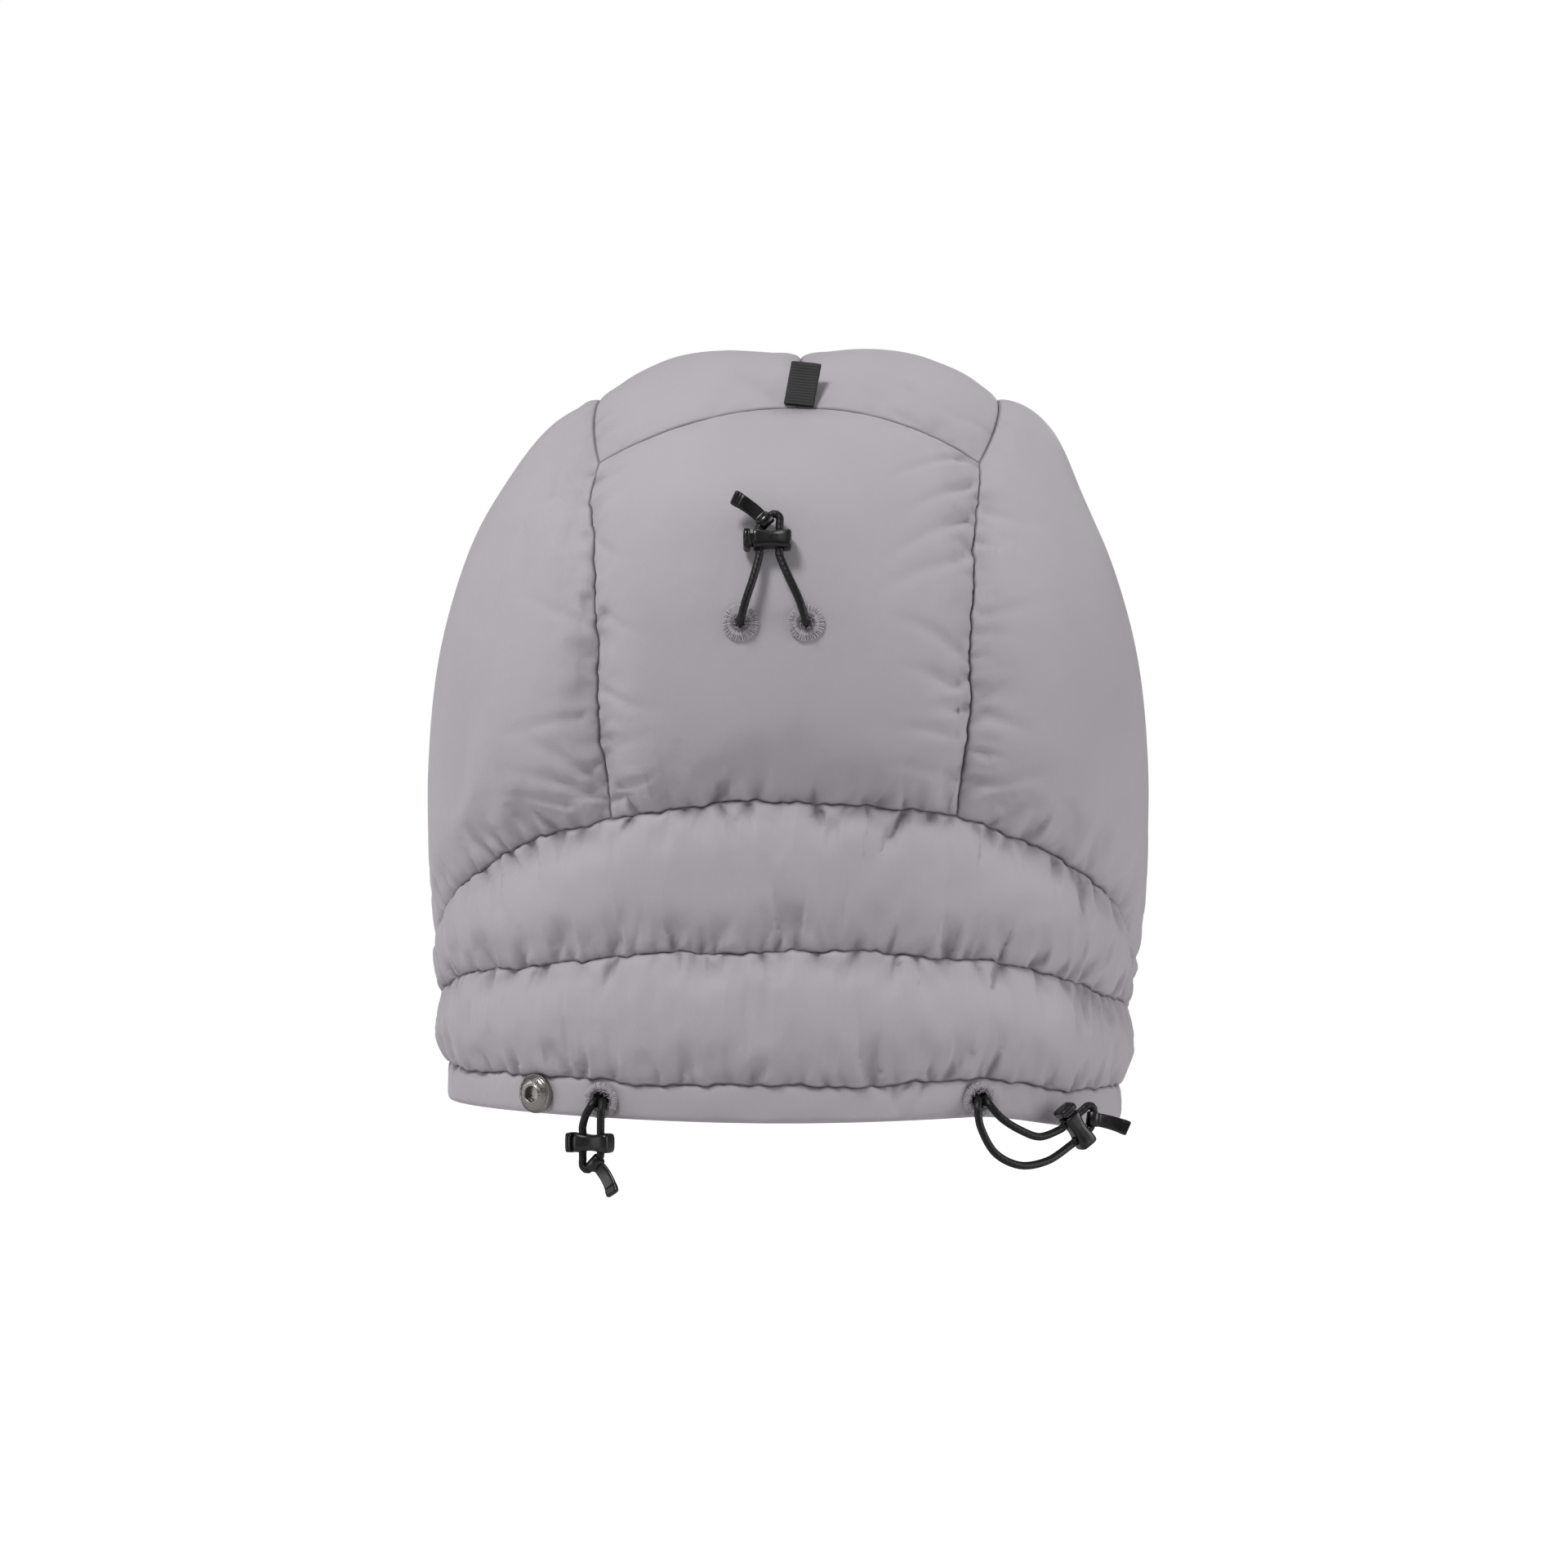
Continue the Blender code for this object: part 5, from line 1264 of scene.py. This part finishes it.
back_frames = [surface_frame(x, BACK_EYELET_HEIGHT, BACK_OFF) for x in BACK_EYELETS_X]
hem_frames = [hem_frame(x, HEM_EYELET_HEIGHT, CHANNEL_HALF) for x in HEM_EYELETS_X]
drilled(pads["back_centre"], back_frames, *PAD_DRILL)
for name, pad in pads.items():
    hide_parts(f"shell_{name}", f"fill_{name}", f"lining_{name}")
    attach(pad, "root")
print("drilled", len(back_frames), "eyelet holes in the back pad")

# %% [markdown]
# Along the bottom runs the hem band: one strip of the same cloth folded over the elastic and sewn shut.
# It is drawn as a closed ring of cross-sections, flat with rounded folds, which follows the seam surface
# round the neck. Small creases pull it towards the eyelets and the seam above.

# %% Hem band
BAND_COLUMNS, BAND_AROUND = 520, 28
BAND_CLOTH, BAND_RADIUS = 0.035, 0.115
BAND_SHADE_REACH = 0.0008
CREASES, CREASE_DEPTH = 54, 0.52


def make_hem_band():
    angles = np.linspace(-HEM_END, HEM_END, BAND_COLUMNS + 1)
    turn = np.linspace(0, 2 * math.pi, BAND_AROUND, endpoint=False)
    tall = np.sign(np.sin(turn)) * np.abs(np.sin(turn)) ** 0.45
    thick = np.sign(np.cos(turn)) * np.abs(np.cos(turn)) ** 0.6
    top = (HEM_BAND + wander(angles, 3))[:, None]
    heights_ = (tall[None] + 1) / 2 * top
    lifted = heights_ + hem_lift(angles)[:, None]
    base = ring_points(np.repeat(angles[:, None], BAND_AROUND, 1), lifted)
    out = normals(base)
    out[..., 2] = 0
    out /= np.linalg.norm(out, axis=-1, keepdims=True)
    crease = np.zeros_like(heights_)
    metres = angles[:, None] * BAND_RADIUS
    for _ in range(CREASES):
        place = rng.uniform(-1, 1) * HEM_END * BAND_RADIUS
        wide, slant = rng.uniform(0.0010, 0.0026), rng.uniform(-1.1, 1.1)
        fade = np.exp(-(top - heights_) / rng.uniform(0.004, 0.018))
        off = (metres - place - slant * (top - heights_)) / wide
        crease += rng.uniform(0.15, 1) * np.exp(-off ** 2) * fade
    sag = 0.00045 * np.sin(metres * 95 + 2.2 * np.sin(metres * 31))
    depth = CHANNEL_HALF * (1 - CREASE_DEPTH * np.tanh(crease)) + sag * np.sin(np.pi * heights_ / top)
    rings = settled(base + out * (depth * thick[None])[..., None])
    obj = mesh_object("hem_band", rings.reshape(-1, 3), tube_faces(BAND_COLUMNS + 1, BAND_AROUND),
                      [SHELL_CLOTH])
    across = np.broadcast_to(np.linspace(0, BAND_CLOTH, BAND_AROUND)[None], heights_.shape)
    lay_cloth(obj, np.stack([np.broadcast_to(metres, heights_.shape), across], -1).reshape(-1, 2))
    # Painted shade: the band's colour is darker just under the seam along its top.
    shade = np.exp(-((top - heights_) / BAND_SHADE_REACH) ** 2)
    seam = obj.data.attributes.new("seam", "FLOAT", "POINT")
    seam.data.foreach_set("value", shade.astype(np.float32).ravel())
    return outwards(obj)


hem_band = make_hem_band()
drilled(hem_band, hem_frames, *BAND_DRILL)
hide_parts("hem_channel")
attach(hem_band, "root")
print("hem band", len(hem_band.data.polygons), "faces")

# %% Face binding
BINDING_RADIUS, BINDING_FORWARD = 0.0030, 0.0033


def make_binding():
    """A folded strip sewn over the raw edge of the face opening."""
    right = between(FACE_EDGE, np.linspace(0, 1, 230))
    edge = np.vstack([mirrored(right), right[::-1][1:]])
    edge[:, 1] += BINDING_FORWARD
    way = np.linspace(0, 1, len(edge))
    pulled = 1 + 0.05 * np.sin(way * 700) * np.sin(way * 190 + 1)
    obj = swept_tube("face_binding_strip", [Vector(p) for p in settled(edge)],
                     BINDING_RADIUS * pulled, SHELL_CLOTH, 14)
    obj.data.uv_layers[0].name = "cloth"
    return obj


binding = make_binding()
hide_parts("face_binding")
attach(binding, "root")
print("face binding", len(binding.data.polygons), "faces")

# %% [markdown]
# The eyelets are embroidered, not metal: sixty satin stitches run in and out of the hole, side by side,
# and the thread's loose ends stand up as fuzz. The stitches repeat round a circle, so Geometry Nodes set
# them: one bowed thread is placed at every point of a circle, turned to face its middle, and jittered a
# little with a fixed seed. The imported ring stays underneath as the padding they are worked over.

# %% Thread finish
def thread_finish():
    """Trilobal polyester thread: light, with a satin gleam along each strand."""
    made, tree, shader = material("trilobal polyester thread", "A5A1A7", 0.5, Sheen_Weight=0.1)
    shader.inputs["Specular IOR Level"].default_value = 0.55
    place = add(tree, "ShaderNodeTexCoord")
    strand = speckle(tree, place, 1400.0)
    tone = add(tree, "ShaderNodeMix", {"Factor": strand.outputs["Fac"], 6: linear("98949A"),
                                       7: linear("C4C0C6")}, data_type="RGBA")
    emboss(tree, shader, strand.outputs["Fac"], 0.4, 0.0001)
    tree.links.new(tone.outputs[2], shader.inputs["Base Color"])
    return made


def padding_finish():
    """The felted padding stitches under the satin: darker, because the threads shade it."""
    made, tree, shader = material("shaded padding stitches", "6B676D", 0.85)
    place = add(tree, "ShaderNodeTexCoord")
    felt = speckle(tree, place, 2200.0)
    emboss(tree, shader, felt.outputs["Fac"], 0.5, 0.0001)
    return made


THREAD, PADDING = thread_finish(), padding_finish()


# %% Geometry Nodes helpers
def new_tree(name, **inputs):
    """A Geometry Nodes tree with named inputs for its sizes."""
    tree = bpy.data.node_groups.new(name, "GeometryNodeTree")
    tree.interface.new_socket("Geometry", in_out="OUTPUT", socket_type="NodeSocketGeometry")
    tree.interface.new_socket("Geometry", in_out="INPUT", socket_type="NodeSocketGeometry")
    for label, value in inputs.items():
        kind = "NodeSocketInt" if isinstance(value, int) else "NodeSocketFloat"
        socket = tree.interface.new_socket(label, in_out="INPUT", socket_type=kind)
        socket.default_value = value
    return tree, add(tree, "NodeGroupInput").outputs


def close_tree(tree, geometry, finish):
    """Ends a tree: real geometry, shaded smooth, in its finish."""
    real = add(tree, "GeometryNodeRealizeInstances", {"Geometry": geometry})
    soft = add(tree, "GeometryNodeSetShadeSmooth", {"Geometry": real.outputs["Geometry"]})
    painted = add(tree, "GeometryNodeSetMaterial",
                  {"Geometry": soft.outputs["Geometry"], "Material": finish})
    output = add(tree, "NodeGroupOutput")
    tree.links.new(painted.outputs["Geometry"], output.inputs["Geometry"])


def grown(name, tree, data, place=None, **inputs):
    """The mesh that a tree makes of some data, as a plain object with its place in its mesh."""
    source = link(bpy.data.objects.new(name, data))
    modifier = source.modifiers.new("Nodes", "NODES")
    modifier.node_group = tree
    for item in tree.interface.items_tree:
        if item.in_out == "INPUT" and item.name in inputs:
            modifier[item.identifier] = inputs[item.name]
    graph = bpy.context.evaluated_depsgraph_get()
    mesh = bpy.data.meshes.new_from_object(source.evaluated_get(graph), depsgraph=graph)
    bpy.data.objects.remove(source, do_unlink=True)
    if place is not None:
        mesh.transform(place)
    obj = link(bpy.data.objects.new(name, mesh))
    print(name, len(mesh.polygons), "faces")
    return obj


def route_curve(points, cyclic=False):
    data = bpy.data.curves.new("route", "CURVE")
    data.dimensions = "3D"
    spline = data.splines.new("POLY")
    spline.points.add(len(points) - 1)
    for place, point in zip(spline.points, points):
        place.co = (*point, 1)
    spline.use_cyclic_u = cyclic
    return data


# %% Satin stitches round an eyelet
def satin_tree():
    tree, given = new_tree("satin stitches", Stitches=60, Middle=0.0042, Length=0.0042, Thread=0.00042,
                           Bow=0.0010, Jitter=0.16, Seed=3)
    ring = add(tree, "GeometryNodeCurvePrimitiveCircle",
               {"Resolution": given["Stitches"], "Radius": given["Middle"]})
    half = add(tree, "ShaderNodeMath", {0: given["Length"], 1: 0.5}, operation="MULTIPLY")
    back = add(tree, "ShaderNodeMath", {0: half.outputs[0], 1: -1.0}, operation="MULTIPLY")
    start = add(tree, "ShaderNodeCombineXYZ", {"X": back.outputs[0]})
    end = add(tree, "ShaderNodeCombineXYZ", {"X": half.outputs[0]})
    rise = add(tree, "ShaderNodeCombineXYZ", {"Z": given["Bow"]})
    bow = add(tree, "GeometryNodeCurveQuadraticBezier", {"Resolution": 7, "Start": start.outputs[0],
                                                         "Middle": rise.outputs[0], "End": end.outputs[0]})
    radius = add(tree, "ShaderNodeMath", {0: given["Thread"], 1: 0.5}, operation="MULTIPLY")
    section = add(tree, "GeometryNodeCurvePrimitiveCircle", {"Resolution": 5, "Radius": radius.outputs[0]})
    thread = add(tree, "GeometryNodeCurveToMesh",
                 {"Curve": bow.outputs[0], "Profile Curve": section.outputs[0], "Fill Caps": True})
    points = add(tree, "GeometryNodeCurveToPoints",
                 {"Curve": ring.outputs["Curve"], "Count": given["Stitches"]}, mode="COUNT")
    place = add(tree, "GeometryNodeInputPosition")
    flat = add(tree, "FunctionNodeAlignRotationToVector", {"Vector": place.outputs["Position"]}, axis="X",
               pivot_axis="Z")
    shift = add(tree, "FunctionNodeRandomValue", {2: -0.12, 3: 0.12, "Seed": given["Seed"]},
                data_type="FLOAT")
    lean = add(tree, "ShaderNodeCombineXYZ", {"Z": shift.outputs[1]})
    turned = add(tree, "FunctionNodeRotateRotation", {"Rotation": flat.outputs["Rotation"],
                                                      "Rotate By": lean.outputs[0]}, rotation_space="LOCAL")
    low = add(tree, "ShaderNodeMath", {0: 1.0, 1: given["Jitter"]}, operation="SUBTRACT")
    size = add(tree, "FunctionNodeRandomValue", {2: low.outputs[0], 3: 1.0, "Seed": given["Seed"]},
               data_type="FLOAT")
    set_ = add(tree, "GeometryNodeInstanceOnPoints", {"Points": points.outputs["Points"],
                                                      "Instance": thread.outputs["Mesh"],
                                                      "Rotation": turned.outputs["Rotation"],
                                                      "Scale": size.outputs[1]})
    close_tree(tree, set_.outputs["Instances"], THREAD)
    return tree


satin = satin_tree()
BACK_HOLE, HEM_HOLE = 0.0042, 0.0072
for name, place, hole in (("eyelet_back_left", back_frames[0], BACK_HOLE),
                          ("eyelet_back_right", back_frames[1], BACK_HOLE),
                          ("eyelet_hem_left", hem_frames[0], HEM_HOLE),
                          ("eyelet_hem_right", hem_frames[1], HEM_HOLE)):
    inner, outer = hole / 2 - 0.0002, 0.0070
    stitches = grown(f"satin_{name}", satin, bpy.data.meshes.new("seed"),
                     place @ Matrix.Translation((0, 0, 0.0009)), Stitches=64 if hole < 0.005 else 76,
                     Middle=(inner + outer) / 2, Length=outer - inner, Thread=0.00042, Bow=0.0014,
                     Seed=len(name) + int(hole * 1e4))
    frame["nodes"][name].data.materials.clear()
    frame["nodes"][name].data.materials.append(PADDING)
    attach(stitches, "root")

# %% Loose threads in the middle of each eyelet
THREAD_RADIUS = 0.00011


def loose_threads(name, place, radius, count):
    """A few frayed ends of thread that stand up round the cord."""
    verts, faces = [], []
    for _ in range(count):
        angle, reach = rng.uniform(0, 2 * math.pi), rng.uniform(0.6, 1.35) * radius
        bend, height = rng.uniform(-1.2, 1.2), rng.uniform(0.0007, 0.0018)
        points = []
        for t in np.linspace(0, 1, 8):
            turn = angle + bend * t
            out = reach * (0.75 + 0.5 * t)
            points.append(Vector((out * math.cos(turn), out * math.sin(turn),
                                  0.0008 + height * math.sin(math.pi * t * 0.9))))
        spots, sides, ups = carried_frames(points)
        first = len(verts)
        for k, spot in enumerate(spots):
            for a in (0, 2.1, 4.2):
                verts.append(place @ Vector(spot + THREAD_RADIUS * (math.cos(a) * sides[k]
                                                                    + math.sin(a) * ups[k])))
        for k in range(len(spots) - 1):
            for j in range(3):
                a, b = first + 3 * k + j, first + 3 * k + (j + 1) % 3
                faces.append((a, b, b + 3, a + 3))
        faces += [(first + 2, first + 1, first), tuple(first + 3 * len(spots) - 3 + j for j in range(3))]
    obj = mesh_object(name, verts, faces, [THREAD])
    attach(obj, "root")
    return obj


for name, place, radius in (("left", back_frames[0], 0.0021), ("right", back_frames[1], 0.0021)):
    loose_threads(f"fray_back_{name}", place, radius, 26)
for name, place in (("left", hem_frames[0]), ("right", hem_frames[1])):
    loose_threads(f"fray_hem_{name}", place, 0.0042, 18)

# %% [markdown]
# A line of lockstitch holds every seam down in its groove. The stitches are about 3 mm long and lie
# end to end, so they follow the seams' curves: Geometry Nodes place one small straight thread at even steps
# along each curve and turn it to run with the seam.

# %% Lockstitch along the seams
def lockstitch_tree():
    tree, given = new_tree("lockstitch", Step=0.0030, Thread=0.00042, Sink=0.00012)
    lengthened = add(tree, "ShaderNodeMath", {0: given["Step"], 1: 0.46}, operation="MULTIPLY")
    back = add(tree, "ShaderNodeMath", {0: lengthened.outputs[0], 1: -1.0}, operation="MULTIPLY")
    start = add(tree, "ShaderNodeCombineXYZ", {"Z": back.outputs[0]})
    end = add(tree, "ShaderNodeCombineXYZ", {"Z": lengthened.outputs[0]})
    bow = add(tree, "GeometryNodeCurvePrimitiveLine", {"Start": start.outputs[0], "End": end.outputs[0]})
    cut = add(tree, "GeometryNodeResampleCurve", {"Curve": bow.outputs["Curve"], "Count": 4})
    radius = add(tree, "ShaderNodeMath", {0: given["Thread"], 1: 0.5}, operation="MULTIPLY")
    section = add(tree, "GeometryNodeCurvePrimitiveCircle", {"Resolution": 6, "Radius": radius.outputs[0]})
    thread = add(tree, "GeometryNodeCurveToMesh",
                 {"Curve": cut.outputs[0], "Profile Curve": section.outputs[0], "Fill Caps": True})
    points = add(tree, "GeometryNodeCurveToPoints", {"Curve": given["Geometry"], "Length": given["Step"]},
                 mode="LENGTH")
    placed_ = add(tree, "GeometryNodeInstanceOnPoints", {"Points": points.outputs["Points"],
                                                         "Instance": thread.outputs["Mesh"],
                                                         "Rotation": points.outputs["Rotation"]})
    close_tree(tree, placed_.outputs["Instances"], SEAM_THREAD)
    return tree


SEAM_THREAD, seam_tree, seam_shader = material("grey core-spun thread", "7E7980", 0.7)
seam_place = add(seam_tree, "ShaderNodeTexCoord")
seam_fibre = speckle(seam_tree, seam_place, 1500.0)
emboss(seam_tree, seam_shader, seam_fibre.outputs["Fac"], 0.4, 0.0001)
lockstitch = lockstitch_tree()
SEAM_LINES = {
    "nape": ring_seam(nape_height, -TIP_ANGLE, TIP_ANGLE),
    "collar": ring_seam(collar_height, -COLLAR_END, COLLAR_END),
    "band": ring_seam(band_height, -BAND_END, BAND_END),
    "side_left": side_seam(-1), "side_right": side_seam(1),
    "top_left": mirrored(top_seam), "top_right": top_seam, "middle": middle_seam,
    "crown": np.vstack([mirrored(crown_seam[::-1]), crown_seam[1:]]),
}
for name, line in SEAM_LINES.items():
    even = between(line, np.linspace(0, 1, max(30, len(line) // 2)))
    inside = settled(even + normals(even) * (SEAM_OUT + 0.00005))
    stitches = grown(f"lockstitch_{name}", lockstitch, route_curve(inside))
    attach(stitches, "root")

# %% [markdown]
# The snap is the socket half of a ring-spring button, pressed from brass and plated dark. Its face is a
# shallow dome between a beaded edge and a raised lip round the socket. The outline is spun by the same
# helper as the eyes of the tabs; the beads are the same small ball sixty times over, so Geometry Nodes
# place them on a circle.

# %% Snap socket
SNAP_PLACE = hem_frame(-0.0913, 0.0078, 0.0)
SNAP_OUTLINE = [(2.30, 4.20), (2.30, 3.45), (6.9, 3.45), (7.35, 3.55), (7.5, 3.9), (7.5, 4.5),
                (7.38, 4.9), (7.1, 5.15),
                (6.75, 5.3), (6.5, 5.42), (6.38, 5.75), (6.1, 6.15), (5.6, 6.5), (5.0, 6.78), (4.4, 6.95),
                (4.0, 7.0), (3.82, 7.05), (3.72, 7.3), (3.5, 7.4), (3.22, 7.38), (3.05, 7.2), (2.98, 6.8),
                (2.98, 6.0), (3.05, 4.3)]


def six_sided(angle, radius):
    """The socket's lip is pressed into a soft hexagon round the ring spring."""
    near = max(0.0, min(1.0, (4.0e-3 - radius) / 1.0e-3))
    return 1 - 0.055 * near * (1 + math.cos(6 * angle)) / 2


snap = turned("snap_face", [(r / 1000, h / 1000) for r, h in SNAP_OUTLINE], SNAP_PLACE, GUNMETAL, 72,
              six_sided)
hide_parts("snap_socket")
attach(snap, "root")


def bead_tree():
    tree, given = new_tree("beaded edge", Beads=60, Ring=0.00705, Bead=0.00037)
    ring = add(tree, "GeometryNodeCurvePrimitiveCircle",
               {"Resolution": given["Beads"], "Radius": given["Ring"]})
    ball = add(tree, "GeometryNodeMeshIcoSphere", {"Radius": given["Bead"], "Subdivisions": 2})
    points = add(tree, "GeometryNodeCurveToPoints",
                 {"Curve": ring.outputs["Curve"], "Count": given["Beads"]},
                 mode="COUNT")
    on = add(tree, "GeometryNodeInstanceOnPoints", {"Points": points.outputs["Points"],
                                                    "Instance": ball.outputs["Mesh"]})
    close_tree(tree, on.outputs["Instances"], GUNMETAL)
    return tree


beads = grown("snap_beads", bead_tree(), bpy.data.meshes.new("seed"),
              SNAP_PLACE @ Matrix.Translation((0, 0, 0.0051)))
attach(beads, "root")

# %% [markdown]
# The hanging loop is a short end of black grosgrain, a ribbed ribbon with thick weft cords a millimetre
# apart, doubled over and caught in the crown seam. The ribs are part of its shape, so the tape is drawn as
# one long strip of cross-sections that swell over each cord.

# %% Grosgrain loop
RIB_PITCH, RIB_RISE = 0.00118, 0.00020
WARP_PITCH = 0.00045
TAPE_HALF, TAPE_MIDDLE = 0.00022, 0.00055
LOOP_WIDE, LOOP_TOP_Y = 0.0115, 0.0177


def grosgrain_finish():
    """Matt black nylon ribbon: fine warp threads run over the ribs, with shade painted darker between the
    ribs.
    """
    made, tree, shader = material("black nylon grosgrain", "0B0B0C", 0.62, Sheen_Weight=0.02)
    shader.inputs["Sheen Roughness"].default_value = 0.4
    tape = add(tree, "ShaderNodeUVMap", uv_map="cloth")
    warp = add(tree, "ShaderNodeVectorMath", {0: tape.outputs["UV"], 1: (2 / WARP_PITCH, 0, 0)},
               operation="DOT_PRODUCT")
    thread = add(tree, "ShaderNodeMath", {0: warp.outputs["Value"], 1: 1.0}, operation="PINGPONG")
    weft = add(tree, "ShaderNodeVectorMath", {0: tape.outputs["UV"], 1: (0, 2 / RIB_PITCH, 0)},
               operation="DOT_PRODUCT")
    rib = add(tree, "ShaderNodeMath", {0: weft.outputs["Value"], 1: 1.0}, operation="PINGPONG")
    # Painted shade: the colour runs from 020202 in the grooves between the ribs to 161617 on their crests.
    tone = add(tree, "ShaderNodeMix", {"Factor": rib.outputs[0], 6: linear("020202"), 7: linear("161617")},
               data_type="RGBA")
    emboss(tree, shader, thread.outputs[0], 0.5, 0.0001)
    tree.links.new(tone.outputs[2], shader.inputs["Base Color"])
    return made


def make_hanging_loop():
    place = surface_frame(0.0007, CROWN_SEAM, SEAM_OUT + 0.0006)
    place = place @ Matrix.Rotation(math.radians(-11), 4, "Z") @ Matrix.Rotation(math.radians(30), 4, "X")
    place = place @ Matrix.Translation((0, 0.0003, 0.0011))
    straight, bend = LOOP_TOP_Y, math.pi * TAPE_MIDDLE
    way = np.arange(0, 2 * straight + bend, 0.00013)
    columns = np.array([-1, -0.94, -0.6, 0, 0.6, 0.94, 1.0])
    edge = np.where(np.abs(columns) > 0.9, 0.6, 1.0) * np.where(np.abs(columns) > 0.99, 0.35, 1.0)
    rings = []
    for s in way:
        if s < straight:
            spot, out = (s, TAPE_MIDDLE), (0.0, 1.0)
        elif s < straight + bend:
            turn = (s - straight) / TAPE_MIDDLE
            spot = (straight + TAPE_MIDDLE * math.sin(turn), TAPE_MIDDLE * math.cos(turn))
            out = (math.sin(turn), math.cos(turn))
        else:
            spot, out = (2 * straight + bend - s, -TAPE_MIDDLE), (0.0, -1.0)
        half = TAPE_HALF + RIB_RISE * (abs(math.sin(math.pi * s / RIB_PITCH)) ** 0.7 - 0.5)
        wide = LOOP_WIDE / 2 * (1 - 0.012 * abs(math.cos(math.pi * s / RIB_PITCH)))
        ring = [place @ Vector((x * wide, spot[0] + side * half * e * out[0],
                                spot[1] + side * half * e * out[1]))
                for side, order in ((1, 1), (-1, -1)) for x, e in list(zip(columns, edge))[::order]]
        rings.append(ring)
    around = len(rings[0])
    obj = mesh_object("grosgrain_loop", [v for ring in rings for v in ring], tube_faces(len(rings), around),
                      [grosgrain_finish()])
    across_ = np.concatenate([columns, columns[::-1]]) * LOOP_WIDE / 2
    lay_cloth(obj, np.stack([np.tile(across_, len(rings)), np.repeat(way, around)], -1))
    return outwards(obj)


loop = make_hanging_loop()
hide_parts("hang_loop")
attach(loop, "hang_loop")
print("loop", len(loop.data.polygons), "faces")

# %% [markdown]
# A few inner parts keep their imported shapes, because they are hardly seen and only need the finish of
# what they are: the plungers inside the locks, the snap's spring and rivet, and the elastic that runs
# hidden through the hem channel and round the head.

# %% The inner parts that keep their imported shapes
def inner_braid():
    """The same braided sheath for the elastic inside the hem, with its ribs from a wave in space."""
    made, tree, shader = material("braided elastic in the channel", "1A1A1D", 0.65)
    place = add(tree, "ShaderNodeTexCoord")
    ribs = add(tree, "ShaderNodeTexWave",
               {"Vector": place.outputs["Object"], "Scale": 400.0, "Distortion": 1.0})
    emboss(tree, shader, ribs.outputs["Fac"], 0.5, 0.0003)
    return made


INNER_BRAID = inner_braid()
NODE_FINISHES = {"lock_button": ACETAL,
                 "snap_spring": SPRING_STEEL, "snap_rivet": GUNMETAL, "hem_elastic": INNER_BRAID,
                 "adjuster_elastic": INNER_BRAID}
for name, node in frame["nodes"].items():
    for start, finish in NODE_FINISHES.items():
        if name.startswith(start):
            node.data.materials.clear()
            node.data.materials.append(finish)
